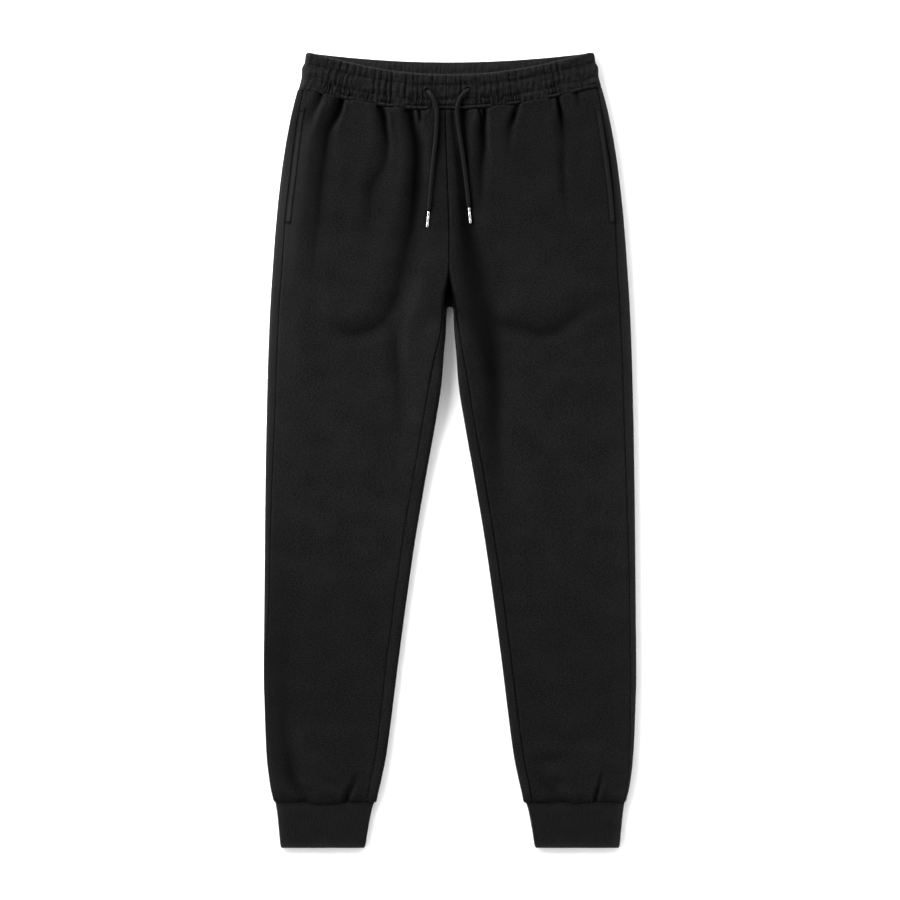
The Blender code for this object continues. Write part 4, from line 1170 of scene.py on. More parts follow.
# Gathers of the front: x in the upper tunnels, depth as a share, and half width
GATHERS = (
    (-173, 0.2, 2.2), (-164, 0.3, 1.8), (-156.5, 0.45, 1.7), (-148.5, 0.6, 1.7), (-139.8, 0.65, 1.6),
    (-131, 0.7, 1.6), (-120.5, 0.7, 1.6), (-113.5, 0.45, 1.6), (-106.5, 0.35, 1.5), (-95.4, 0.8, 1.6),
    (-87.6, 0.9, 1.6), (-79.6, 0.9, 1.5), (-73.9, 0.9, 1.5), (-55.6, 1, 1.7), (-46.3, 0.9, 1.6),
    (-40.4, 0.7, 1.5), (-33, 0.5, 1.4), (-22.1, 0.8, 1.6), (-15.5, 0.5, 1.3), (7.8, 0.65, 1.3),
    (14.4, 1, 1.4), (20.2, 0.5, 1.3), (34, 0.75, 1.5), (44.5, 0.35, 1.6), (52, 0.3, 1.5),
    (60.7, 0.65, 1.4), (75.8, 0.6, 1.5), (84.9, 0.4, 1.6), (92.7, 0.3, 1.6), (103.8, 0.45, 1.5),
    (112, 0.3, 1.6), (120.8, 0.6, 1.4), (130, 0.75, 1.4), (137.5, 0.8, 1.4), (150, 0.25, 2),
    (163, 0.2, 2.2),
)

# Distance below the band's top and its half width, which swells at each tunnel
SIDE = (
    (0, 184), (4, 185.1), (9, 185.7), (12.5, 186.3), (14.5, 187.4), (17, 188.9), (21, 189.8),
    (28, 189.9), (32.5, 190.7), (38, 192.1), (43, 193.4), (45, 193.8),
)
# Stretches of x where the lower elastic row draws the cloth into fine ruches
RUCHED = ((-168, -122), (-118, -97), (-92, -72), (-58, -30), (30, 94), (126, 144))


@dataclass(frozen=True)
class Waistband:
    """The gathered band: one strip bent into a flat ring, its ends meeting in front."""

    wall: float = 4.6        # cloth and elastic together
    top: float = 10.4        # height of the front at its stitch rows
    inside: float = 5.8      # and of its inner face
    reach: float = 6.0       # depth of the round sides
    slit: float = -4.6       # x of the seam that closes the ring
    rows: tuple[float, ...] = (0.0, 13.5, 32.0, 45.0)    # ends of the tunnels
    proud: float = 1.5       # how far a tunnel stands above its stitch rows
    gather: float = 2.3      # depth of the deepest gather
    nose: float = 2.0        # roundness of its top edge
    eyelet: float = 3.6      # radius of the hole that a cord leaves by
    sunk: float = 3.4        # how deep that hole goes
    groove: float = 39.8     # distance below the top of the groove above the seam
    lip: float = 42.3        # and of the seam's turned lip
    seam_row: float = 43.9   # and of the stitches along the seam

    side_width = Profile(SIDE)

    def bulge(self, v: Array) -> Array:
        """0 at a stitch row, 1 in the middle of a tunnel.

        Args:
            v: Distances from the top.

        Returns:
            The amounts.
        """
        total = np.zeros(np.shape(v))
        for a, b in zip(self.rows, self.rows[1:]):
            t = unit((v - a) / (b - a))
            total = total + np.abs(np.sin(math.pi * t)) ** 0.6 * ((v >= a) & (v <= b))
        return unit(total)

    def scale(self, v: Array) -> Array:
        """How much narrower the band is than at its seam."""
        return (self.side_width(v) - self.reach) / FORM.seam_half

    def puckers(self, x: Array, v: Array) -> Array:
        """Depth of the gathers, from 0 to about 1, each a little different in each tunnel.

        Args:
            x: Places along the seam.
            v: Distances from the top.

        Returns:
            The depths.
        """
        total = np.zeros(np.shape(x))
        rng = np.random.default_rng(5)
        tunnel = [v < self.rows[1], v < self.rows[2]]
        for place, share, width in GATHERS:
            spot = place / UPPER_SHARE
            shift, fade = rng.uniform(-0.6, 0.6, 3), rng.uniform(0.6, 1.0, 3)
            shift[0] = 0.0
            lean = 1.0 - 0.0009 * (v - 8.0) * (place < -100.0)
            bend = np.select(tunnel, [shift[0], shift[1]], shift[2])
            strength = np.select(tunnel, [fade[0], fade[1]], 0.55 * fade[2])
            total = np.maximum(total, share * strength * hill(x - spot / lean - bend, 0.88 * width))
        for _ in range(46):
            spot, low = rng.uniform(-178.0, 150.0), rng.uniform(0.0, 1.0) < 0.35
            share = rng.uniform(0.2, 0.6) * (1.0 if spot < 0.0 else 0.55)
            start = self.rows[2] - 2.0 if low else self.rows[1] - 1.0
            on = smooth((v - start) / 2.0) * (1.0 if low else smooth((35.0 - v) / 4.0))
            way = rng.uniform(-0.12, 0.12) + 0.0008 * spot
            total = np.maximum(total, share * on * hill(x - spot - way * (v - 22.0),
                                                        rng.uniform(0.9, 1.6)))
        return total

    def ruches(self, x: Array, v: Array) -> Array:
        """Fine puckers that the elastic's lower stitch row pulls up.

        Args:
            x: Places along the seam.
            v: Distances from the top.

        Returns:
            Their heights.
        """
        amount = 0.12 + 0.2 * unit(waves(x, v * 0.2, 34.0, 11))
        for start, end in RUCHED:
            amount = amount + smooth((x - start) / 5.0) * smooth((end - x) / 5.0)
        wave = np.sin(math.tau * (x / 3.5 + 0.3 * waves(x, v * 0.5, 9.0, 12)))
        near = hill(v - 36.0, 4.6) + 0.5 * hill(v - 28.8, 2.4) + 0.3 * hill(v - 15.5, 1.8)
        return near * np.clip(amount, 0.0, 1.1) * (0.25 - 0.75 * wave)

    def around(self) -> tuple[Array, Array]:
        """x at the seam and edge angle of each column, from the slit round to the slit.

        Returns:
            The columns' x and angle.
        """
        half, gap = FORM.seam_half, FORM.seam / 2.0
        front_right = steps(self.slit + gap, (half, 0.95))
        front_left = steps(-half, (self.slit - gap, 0.95))
        back = steps(-half, (half, 1.6))[::-1]
        turn = np.linspace(90.0, -90.0, 15)[1:-1]
        side = np.full(turn.shape, half)
        x = np.concatenate((front_right, side, back, -side, front_left))
        angle = np.concatenate((np.full(len(front_right), 90.0), turn,
                                np.full(len(back), -90.0), turn[::-1],
                                np.full(len(front_left), 90.0)))
        return x, angle

    def place(self, x: Array, v: Array, front: Array) -> tuple[Array, Array]:
        """x and drop of places on the band."""
        sag = np.where(front, FORM.sag(x, True), FORM.sag(x, False))
        return x * self.scale(v), sag + v * FORM.band_at(x) / FORM.band_height

    def outer(self, x: Array, angle: Array, v: Array) -> Array:
        """Places of the band's outer face.

        Args:
            x: Places along the seam.
            angle: Their edge angles.
            v: Distances from the top.

        Returns:
            x, drop and height.
        """
        turn = np.radians(angle)
        px, drop = self.place(x, v, angle > 0.0)
        bulge = self.bulge(v)
        px = px + np.sign(x) * self.reach * np.cos(turn) * (np.abs(angle) < FLAT)
        shown = seam_shows(x)
        depth = self.puckers(x, v) * self.gather * (0.45 + 0.55 * bulge)
        depth = depth + 1.5 * self.ruches(x, v)
        depth = depth + 0.42 * waves(x, v * 0.8, 9.0, 3) + 0.12 * waves(x, v * 0.6, 4.6, 4)
        depth = depth + 0.9 * hill(x - self.slit, 0.9) + 0.5 * hill(x - self.slit + 4.0, 0.8)
        depth = depth + shown * (1.1 * hill(v - self.groove, 0.8) - 0.7 * hill(v - self.lip, 1.0)
                                 + 0.5 * hill(v - 44.8, 0.6))
        fold = mix(1.0, smooth((FORM.band_height - v) / 0.8), shown)
        height = self.top + self.proud * bulge
        up = height - depth + (fold - 1.0) * 1.4
        for cord in DRAWCORDS:
            hole_x, hole_drop = cord.route[0][:2]
            away = np.hypot(px - hole_x, (drop - hole_drop) * 0.9)
            up = up - self.sunk * smooth((self.eyelet - away) / 1.6)
            up = up + 0.35 * hill(away - self.eyelet - 1.0, 0.9)
        edge = dome(height, turn)
        down = np.clip(0.45 * depth + self.proud * 0.6 * (1.0 - bulge), 0.0, 1.6)
        z = np.where(angle > FLAT, up, np.where(angle < -FLAT, down, edge))
        return np.stack((px, drop, z), -1)

    def pleats(self, x: Array, v: Array) -> Array:
        """1 in the narrow pleats between the inner face's soft ribs.

        Args:
            x: Places along the seam.
            v: Distances from the top.

        Returns:
            The amounts.
        """
        wander = 0.4 * waves(x, v * 0.2, 24.0, 21)
        strength = 0.6 + 0.4 * waves(x, v * 0.1, 17.0, 23)
        return strength * (0.5 - 0.5 * np.sin(math.tau * (x / 5.2 + wander))) ** 3

    def inner(self, x: Array, angle: Array, v: Array) -> Array:
        """Places of the band's inner face, which shows at the back above the front.

        Args:
            x: Places along the seam.
            angle: Their edge angles.
            v: Distances from the top.

        Returns:
            x, drop and height.
        """
        turn = np.radians(angle)
        px, drop = self.place(x, v, angle > 0.0)
        px = px + np.sign(x) * (self.reach - self.wall) * np.cos(turn) * (np.abs(angle) < FLAT)
        middle, half = (self.inside + self.wall) / 2.0, (self.inside - self.wall) / 2.0
        shown = 1.0 - smooth((v - 14.0) / 10.0)
        fine = waves(x, v * 0.3, 3.6, 22)
        behind = self.wall + shown * (
            0.7 * self.bulge(v) - 0.9 * self.pleats(x, v) + 0.25 * fine)
        z = middle + half * np.sin(turn)
        z = np.where(angle < -FLAT, behind, np.where(angle > FLAT, self.inside, z))
        return np.stack((px, drop, z), -1)

    def band(self, finish: Finish) -> Piece:
        """The whole ring: outer face, seam edge, inner face and the round edge on top.

        Args:
            finish: The material.

        Returns:
            The piece.
        """
        x, angle = self.around()
        height = FORM.band_height
        down = steps(self.nose, (40.0, 0.95), (height, 0.5))
        up = steps(self.nose, (16.0, 1.2), (height, 5.0))[::-1]
        rows = [self.outer(x, angle, np.full(x.shape, v)) for v in down]
        rows += [self.inner(x, angle, np.full(x.shape, v)) for v in up]
        first, last = rows[0], rows[-1]
        for turn in np.radians((150.0, 120.0, 90.0, 60.0, 30.0, 0.0)):
            row = mix(last, first, 0.5 + 0.5 * math.cos(turn))
            row[:, 1] -= self.nose * math.sin(turn)
            rows.append(row)
        places = np.array(rows)
        reach = (down, height + self.wall + (height - up), np.linspace(95.0, 99.0, 6))
        grain = np.stack(np.meshgrid(girth(first), np.concatenate(reach)), -1)
        x, v = x[None], down[:, None]
        # painted shade in the gathers, ruches and pleats, with darker seam lines; a painted highlight at
        # the sides, the top edge, the seam's lip and the inner face
        marks = {"pressed_and_shaded": self.pressed_and_shaded(places, x, angle, v, up[:, None]),
                 "painted_light": self.painted_highlight(places, seam_shows(x), v)}
        return close(lay_cloth("waistband_gathered", places, grain, finish, weld=True,
                               marks=marks))

    def pressed_and_shaded(self, places: Array, x: Array, angle: Array, down: Array, up: Array) -> Array:
        """Painted shade in the gathers, ruches and inner pleats, and darker seam and stitch lines.

        Args:
            places: Its rows and columns.
            x: x of the columns at the seam.
            angle: Their edge angles.
            down: The outer face's rows, from the top.
            up: The same of each row of the inner face.

        Returns:
            From 0, untouched, up to 1, near black.
        """
        upper, lower = self.rows[1:3]
        lines = seam_shows(x) * (
            0.8 * hill(down - self.groove, 0.7) + 0.9 * smooth((down - 44.2) / 0.6))
        dashes = 0.5 + 0.5 * np.clip(3.0 * waves(x, 0.0, 5.0, 6), -1.0, 1.0)
        lines = lines + 0.75 * dashes * (
            hill(down - upper, 0.8) + 0.5 * hill(down - lower, 0.8))
        ruches = unit(self.ruches(x, down))
        outside = 0.08 + 0.65 * self.puckers(x, down) + lines + 0.35 * ruches
        inside = 0.06 + 0.5 * self.pleats(x, up)
        shade = np.zeros(places.shape[:2])
        shade[:len(down)] = np.clip(outside, 0.0, DEEPEST) * (angle > FLAT)
        within = slice(len(down), len(down) + len(up))
        shade[within] = np.clip(inside, 0.0, DEEPEST) * (angle < -FLAT)
        return shade

    def painted_highlight(self, places: Array, shown: Array, v: Array) -> Array:
        """Painted highlight: at both sides, on top, on the inner face and on the seam's lip.

        Args:
            places: Its rows and columns.
            shown: Where the waist seam shows.
            v: The outer face's rows, from the top.

        Returns:
            From 0, none, up to 1, the full highlight colour.
        """
        inward = self.side_width(np.array(20.0)) - np.abs(places[..., 0])
        side = mix(0.2, 0.5, places[..., 0] < 0.0) * hill(inward, 10.0)
        total = 0.04 + side
        rows = len(v)
        total[:rows] += 0.4 * shown * hill(v - self.lip, 0.9) + 0.15 * hill(v, 2.4)
        total[rows:] += 0.35
        return unit(total)

    def stitches(self, thread: Finish) -> Piece:
        """Both stitch rows of the elastic, and the row along the seam, on front and back.

        Args:
            thread: The thread's material.

        Returns:
            The piece.
        """
        lines = []
        for v in (*self.rows[1:3], self.seam_row):
            for angle in (90.0, -90.0):
                x = np.arange(-184.0, 184.5, 1.5)
                line = self.outer(x, np.full(x.shape, angle), np.full(x.shape, v))
                line[:, 2] += 0.1 if angle > 0.0 else -0.1
                lines.append(line[np.abs(x - self.slit) > 1.0])
        return sew("waistband_stitches", lines, thread, thread=0.3)

    def buttonholes(self, thread: Finish) -> Piece:
        """Close zigzag stitches round both holes that the cords leave by.

        Args:
            thread: The thread's material.

        Returns:
            The piece.
        """
        lines = []
        for cord in DRAWCORDS:
            x, drop = cord.route[0][:2]
            for turn in np.arange(0.0, math.tau, math.tau / 34.0):
                near, far = self.eyelet - 0.4, self.eyelet + 1.4
                spots = [(x + r * math.cos(turn), drop + 1.25 * r * math.sin(turn), z)
                         for r, z in ((near, 10.9), (far, 11.5))]
                lines.append(np.array(spots))
        return sew("waistband_buttonholes", lines, thread, stitch=1.9, gap=1.7, thread=0.3)

    def build(self, fleece: Finish, thread: Finish) -> None:
        """Make the band with its sewing.

        Args:
            fleece: The cloth's material.
            thread: The thread's.
        """
        band = own(self.band(fleece), Slot.WAISTBAND, "waistband")
        sewing = own(self.stitches(thread), Slot.WAISTBAND)
        holes = own(self.buttonholes(thread), Slot.WAISTBAND)


# ------------------------------------------------------------------ fronts and pockets


@dataclass(frozen=True)
class Front:
    """One front panel with its pocket mouth in the outer seam."""

    side: Side
    mouth_top: float = 75.0
    mouth_end: float = 215.0
    strip: float = 8.0       # turned edge of the mouth
    raised: float = 0.7      # how much that edge stands up
    stitched: tuple[float, float] = (7.2, 1.6)    # its two stitch rows, by distance from the edge
    columns: int = 104

    @property
    def gape(self) -> float:
        """How far the mouth gapes in its middle."""
        return 0.3 if self.side is Side.LEFT else 1.0

    def opening(self, drop: Array) -> Array:
        """0 at the ends of the mouth, 1 in its middle."""
        t = (drop - self.mouth_top) / (self.mouth_end - self.mouth_top)
        return np.sin(math.pi * unit(t))

    def edges(self, row: Array) -> tuple[Array, Array]:
        """x of the panel's inner and outer edge in each row.

        Args:
            row: Drops before the waist's sag.

        Returns:
            Inner and outer x.
        """
        sign, gap = self.side.value, FORM.seam / 2.0
        inner = FORM.inner_edge[self.side](FORM.waist_drop(row, sign * 6.0, True)) + sign * gap
        drop = FORM.waist_drop(row, sign * FORM.seam_half, True)
        outer = FORM.outseam_x(self.side, drop) - sign * (gap + self.gape * self.opening(drop))
        return inner, outer

    def fold_depth(self, x: Array, drop: Array) -> Array:
        """Depth of all the panel's folds together."""
        return sum(fold.depth(x, drop) for fold in FOLDS[self.side])

    def waist(self, x: Array, below: Array, trough: Array) -> Array:
        """How the cloth leaves the gathered seam: puffs, with a short pleat at each gather.

        Args:
            x: Places across.
            below: Distances below the waist seam.
            trough: 1 in the depth of a fold, 0 beside it.

        Returns:
            Heights to add.
        """
        shown = seam_shows(x)
        start = mix(0.7, 2.2, shown)
        puff = 2.3 * (1.0 - trough) * (1.0 - np.exp(-below / start)) * np.exp(-below / 30.0)
        tuck = (mix(-2.1, 1.2, shown) + 1.2 * trough) * np.exp(-below / 1.2)
        length = 3.0 + 8.0 * trough
        return puff - tuck - 1.3 * self.gathers(x, below) * np.exp(-below / length)

    def gathers(self, x: Array, below: Array) -> Array:
        """1 in the short pleats that the gathered band's tucks carry on below the seam.

        Args:
            x: Places across.
            below: Distances below the waist seam.

        Returns:
            The amounts.
        """
        total = np.zeros(x.shape)
        for place, share, width in GATHERS:
            spot = place / UPPER_SHARE
            total = total + share * hill(x - spot * (1.0 + below / 900.0), width)
        return total

    def relief(self, x: Array, drop: Array, row: Array, inward: Array, outward: Array,
               folds: Array) -> Array:
        """What folds, seams and the pocket's edge add to the front's height.

        Args:
            x: Places across.
            drop: Places along.
            row: Drops before the waist's sag.
            inward: Distance from the inner edge.
            outward: Distance from the outer edge.
            folds: Depth of the folds.

        Returns:
            Heights, below 0 for hollows.
        """
        below = row - FORM.band_height
        waist = self.waist(x, below, unit(folds / 3.0))
        lying = 0.18 * waves(x, drop, 95.0, 31) + 0.14 * waves(x, drop, 30.0, 32)
        lying = lying * smooth(below / 40.0) + 0.06 * waves(x, drop * 1.4, 9.0, 33)
        lying = lying + smooth((drop - 895.0) / 45.0) * 0.45 * waves(x, drop * 1.6, 26.0, 34)
        inner, outer = FORM.seam_depth(self.side, drop)
        seams = seam_line(inward, inner) + (1.0 - self.turned(drop)) * seam_line(outward, outer)
        near = np.exp(-np.minimum(inward, outward) / 5.0)
        ripple = 0.14 * waves(0.0, drop, 13.0, 35) * near
        return -folds + waist + lying + seams + ripple

    def turned(self, drop: Array) -> Array:
        """1 along the pocket mouth, 0 beyond its ends."""
        return smooth((drop - self.mouth_top + 6.0) / 5.0) * smooth(
            (self.mouth_end + 6.0 - drop) / 5.0)

    def strip_lift(self, drop: Array, outward: Array) -> Array:
        """Height that the turned edge and its two topstitch rows add.

        Args:
            drop: Places along.
            outward: Distance from the outer edge.

        Returns:
            The heights.
        """
        on = smooth((self.strip + 0.8 - outward) / 1.4)
        rows = -1.0 * hill(outward - 7.4, 0.9) - 0.35 * hill(outward - 1.6, 0.6)
        depth = FORM.seam_depth(self.side, drop)[1]
        return self.turned(drop) * (self.raised * on + rows - depth * hill(outward, 0.6))

    def spots(self, row: Array, mark: Array) -> tuple[Array, Array, Array, Array, Array]:
        """Lay places given by row and share of the width.

        Args:
            row: Drops before the waist's sag.
            mark: Shares of the width, from the inner edge.

        Returns:
            x, drop and height, the folds' depth, and the distance from the outer edge.
        """
        inner, outer = self.edges(row)
        x = mix(inner, outer, mark)
        wide = np.abs(outer - inner)
        drop = FORM.waist_drop(row, x, True)
        inward, outward = mark * wide, (1.0 - mark) * wide
        folds = self.fold_depth(x, drop)
        relief = self.relief(x, drop, row, inward, outward, folds)
        x, z = FORM.front(x, drop, relief)
        z = z + self.strip_lift(drop, outward)
        hang, dip = FORM.hem(row)
        drop = drop + hang * FORM.hem_lip(x)
        z = z - dip + 0.5 * hill(row - 949.0, 4.0)
        hidden = 1.0 - seam_shows(x)
        drop = drop + mix(FORM.seam / 2.0, -0.9, hidden) * np.exp(-(row - FORM.band_height) / 1.5)
        return x, drop, z, folds, outward

    def pressed_and_shaded(self, x: Array, drop: Array, row: Array, folds: Array, inward: Array,
                outward: Array) -> Array:
        """Painted shade in the folds, in the short pleats below the band, down the shins and as the
        cords' cast shadows; darker seams, stitch rows, bar tacks and hips.

        Args:
            x: Places across.
            drop: Places along.
            row: Drops before the waist's sag.
            folds: Depth of the folds.
            inward: Distance from the inner edge.
            outward: Distance from the outer edge.

        Returns:
            From 0, untouched, up to 1, near black.
        """
        below, shown = row - FORM.band_height, seam_shows(x)
        # painted shade in the folds' troughs
        total = 0.92 * unit(folds / 4.6) ** 1.15
        mouth = self.turned(drop)
        inner, outer = FORM.seam_depth(self.side, drop)
        total = total + inner * hill(inward, 0.6)
        total = total + outer * hill(outward, 0.6 + 0.8 * self.gape * mouth)
        # a little darker over the hips, fading out by a drop of 380
        total = total + 0.2 * (1.0 - smooth((drop - 190.0) / 190.0))
        total = total + 0.6 * mouth * hill(outward - 7.4, 0.7)
        tacked = hill(drop - self.mouth_top + 2.0, 0.9) + hill(drop - self.mouth_end - 2.0, 0.9)
        total = total + 0.6 * tacked * smooth((9.0 - outward) / 1.5)
        total = total + 0.8 * shown * np.exp(-below / 0.6)
        trough = unit(folds / 3.0)
        # painted shade in the short pleats below the waist seam
        total = total + 0.6 * self.gathers(x, below) * np.exp(-below / (3.0 + 8.0 * trough))
        # painted shade, deeper down the shins towards the hems
        shaded = 0.2 if self.side is Side.LEFT else 0.14
        total = total + shaded * smooth((drop - 560.0) / 200.0)
        # painted shadow that each cord and its tip cast, deeper and wider on the +x side
        for cord in DRAWCORDS:
            line = cord.line(4.0)
            ahead = line[-1] + (line[-1] - line[-2]) / 4.0 * cord.tip_length
            line = np.vstack((line, ahead))
            away = x - np.interp(drop, line[:, 1], line[:, 0])
            beside = smooth((ahead[1] + 2.0 - drop) / 2.0) * (drop > line[0, 1])
            width = np.where(away > 0.0, mix(9.2, 4.2, smooth((drop - 105.0) / 75.0)), 3.6)
            amount = np.where(away > 0.0, 0.9, 0.45)
            beyond = smooth((drop - line[-2, 1]) / 2.0)
            total = total + mix(amount, DEEPEST, beyond) * beside * hill(away, mix(width, 3.6, beyond))
        return np.clip(total, 0.0, DEEPEST)

    def painted_highlight(self, x: Array, drop: Array, folds: Array, outward: Array) -> Array:
        """Painted highlight: at the rim, on ridges and along the pocket's edge.

        Args:
            x: Places across.
            drop: Places along.
            folds: Depth of the folds, below 0 on ridges.
            outward: Distance from the outer edge.

        Returns:
            From 0, none, up to 1, the full highlight colour.
        """
        total = FORM.rim(self.side, x, drop) + 0.08 * np.clip(-folds, 0.0, 2.0)
        edge = smooth((outward - 0.8) / 1.0) * smooth((6.8 - outward) / 1.0)
        total = total + 0.3 * self.turned(drop) * edge
        return unit(total)

    def panel(self, finish: Finish) -> Piece:
        """The panel's cloth.

        Args:
            finish: The material.

        Returns:
            The piece.
        """
        rows = steps(FORM.band_height, (50.0, 0.6), (64.0, 1.2), (120.0, 2.0), (240.0, 2.8),
                     (400.0, 3.6), (870.0, 5.6), (930.0, 3.0), (950.0, 1.6), (FORM.leg_end, 0.75))
        inner, outer = self.edges(rows)
        wide = np.abs(outer - inner)[:, None]
        near = np.array((0.0, 0.4, 0.9, 1.6, 2.5, 3.6, 5.0, 6.6))[None] / wide
        far = np.array((0.0, 0.5, 1.0, 1.6, 2.4, 3.4, 4.6, 5.8, 6.6, 7.2, 7.8, 8.6, 9.8,
                        11.2))[None] / wide
        t = np.linspace(0.0, 1.0, self.columns)[None, 1:-1]
        marks = np.concatenate((near, mix(near[:, -1:], 1.0 - far[:, -1:], t),
                                1.0 - far[:, ::-1]), axis=1)
        row = np.broadcast_to(rows[:, None], marks.shape)
        x, drop, z, folds, outward = self.spots(row, marks)
        # painted shade and a painted highlight, carried by the corners' marks
        pressed_and_shaded = self.pressed_and_shaded(x, drop, row, folds, marks * wide, outward)
        piece = lay_cloth(f"front_{self.side.label}_panel", np.stack((x, drop, z), -1),
                          np.stack((x, drop), -1), finish, up=True,
                          marks={"pressed_and_shaded": pressed_and_shaded,
                                 "painted_light": self.painted_highlight(x, drop, folds, outward)})
        thicken(piece, FORM.cloth)
        return piece

    def line(self, outward: float, start: float, end: float) -> Array:
        """Places on the panel, a steady distance from its outer edge.

        Args:
            outward: That distance.
            start: Its first row.
            end: Its last row.

        Returns:
            x, drop and height.
        """
        row = np.arange(start, end, 1.5)
        inner, outer = self.edges(row)
        x, drop, z, _, _ = self.spots(row, 1.0 - outward / np.abs(outer - inner))
        return np.stack((x, drop, z - 0.05), -1)

    def sewing(self, thread: Finish) -> Piece:
        """Topstitches along the pocket's mouth, and the bar tacks at both its ends.

        Args:
            thread: The thread's material.

        Returns:
            The piece.
        """
        top, end = self.mouth_top - 2.0, self.mouth_end + 2.0
        lines = [self.line(outward, top, end) for outward in self.stitched]
        sign = self.side.value
        for row in (top, end):
            for k in range(9):
                spot = self.line(0.6 + 0.9 * k, row, row + 1.0)[0]
                low, high = spot + (0.0, -1.1, 0.1), spot + (sign * 0.4, 1.1, 0.1)
                lines.append(np.array((low, high)))
        return sew(f"front_{self.side.label}_topstitch", lines, thread, thread=0.34)

    def ply(self, finish: Finish) -> Piece:
        """The pocket's ply that shows in the mouth.

        Args:
            finish: The material.

        Returns:
            The piece.
        """
        drop = np.linspace(self.mouth_top - 4.0, self.mouth_end + 4.0, 60)[:, None]
        across = np.array((-2.6, -1.0, 0.5, 2.0, 4.0, 8.0, 14.0, 22.0))[None]
        x = FORM.outseam_x(self.side, drop) - self.side.value * across
        drop = np.broadcast_to(drop, x.shape)
        x, z = FORM.front(x, drop, 0.0)
        places = np.stack((x, drop, z - 3.0), -1)
        grain = np.stack((x, drop), -1)
        # painted shade: the ply in the mouth is darkened nearly to black
        piece = lay_cloth(f"pocket_{self.side.label}_ply", places, grain, finish, up=True,
                          marks={"pressed_and_shaded": np.full(x.shape, 0.9)})
        thicken(piece, 1.2)
        return piece

    def build(self, fleece: Finish, thread: Finish) -> None:
        """Make the front, its pocket ply and its sewing.

        Args:
            fleece: The cloth's material.
            thread: The thread's.
        """
        label = self.side.label
        panel = own(self.panel(fleece), Slot.FLEECE, f"front_{label}")
        sewing = own(self.sewing(thread), Slot.FLEECE)
        ply = own(self.ply(fleece), Slot.POCKET, f"pocket_{label}")


# ------------------------------------------------------------------ backs

# Angles round a folded edge, close together at the seam
EDGE_ANGLES = (90.0, 87.5, 85.0, 82.0, 78.5, 73.0, 66.0, 58.0, 49.0, 39.0, 29.0, 20.0, 12.0, 5.0)
# Drops along the seam in the notch, and how far round the fork's fold their rows go on
NOTCH_DROPS = (FORM.crotch, 290.0, 307.0, FORM.fork)
NOTCH_SHARES = (0.0, 1.0 / 3.0, 2.0 / 3.0, 1.0)


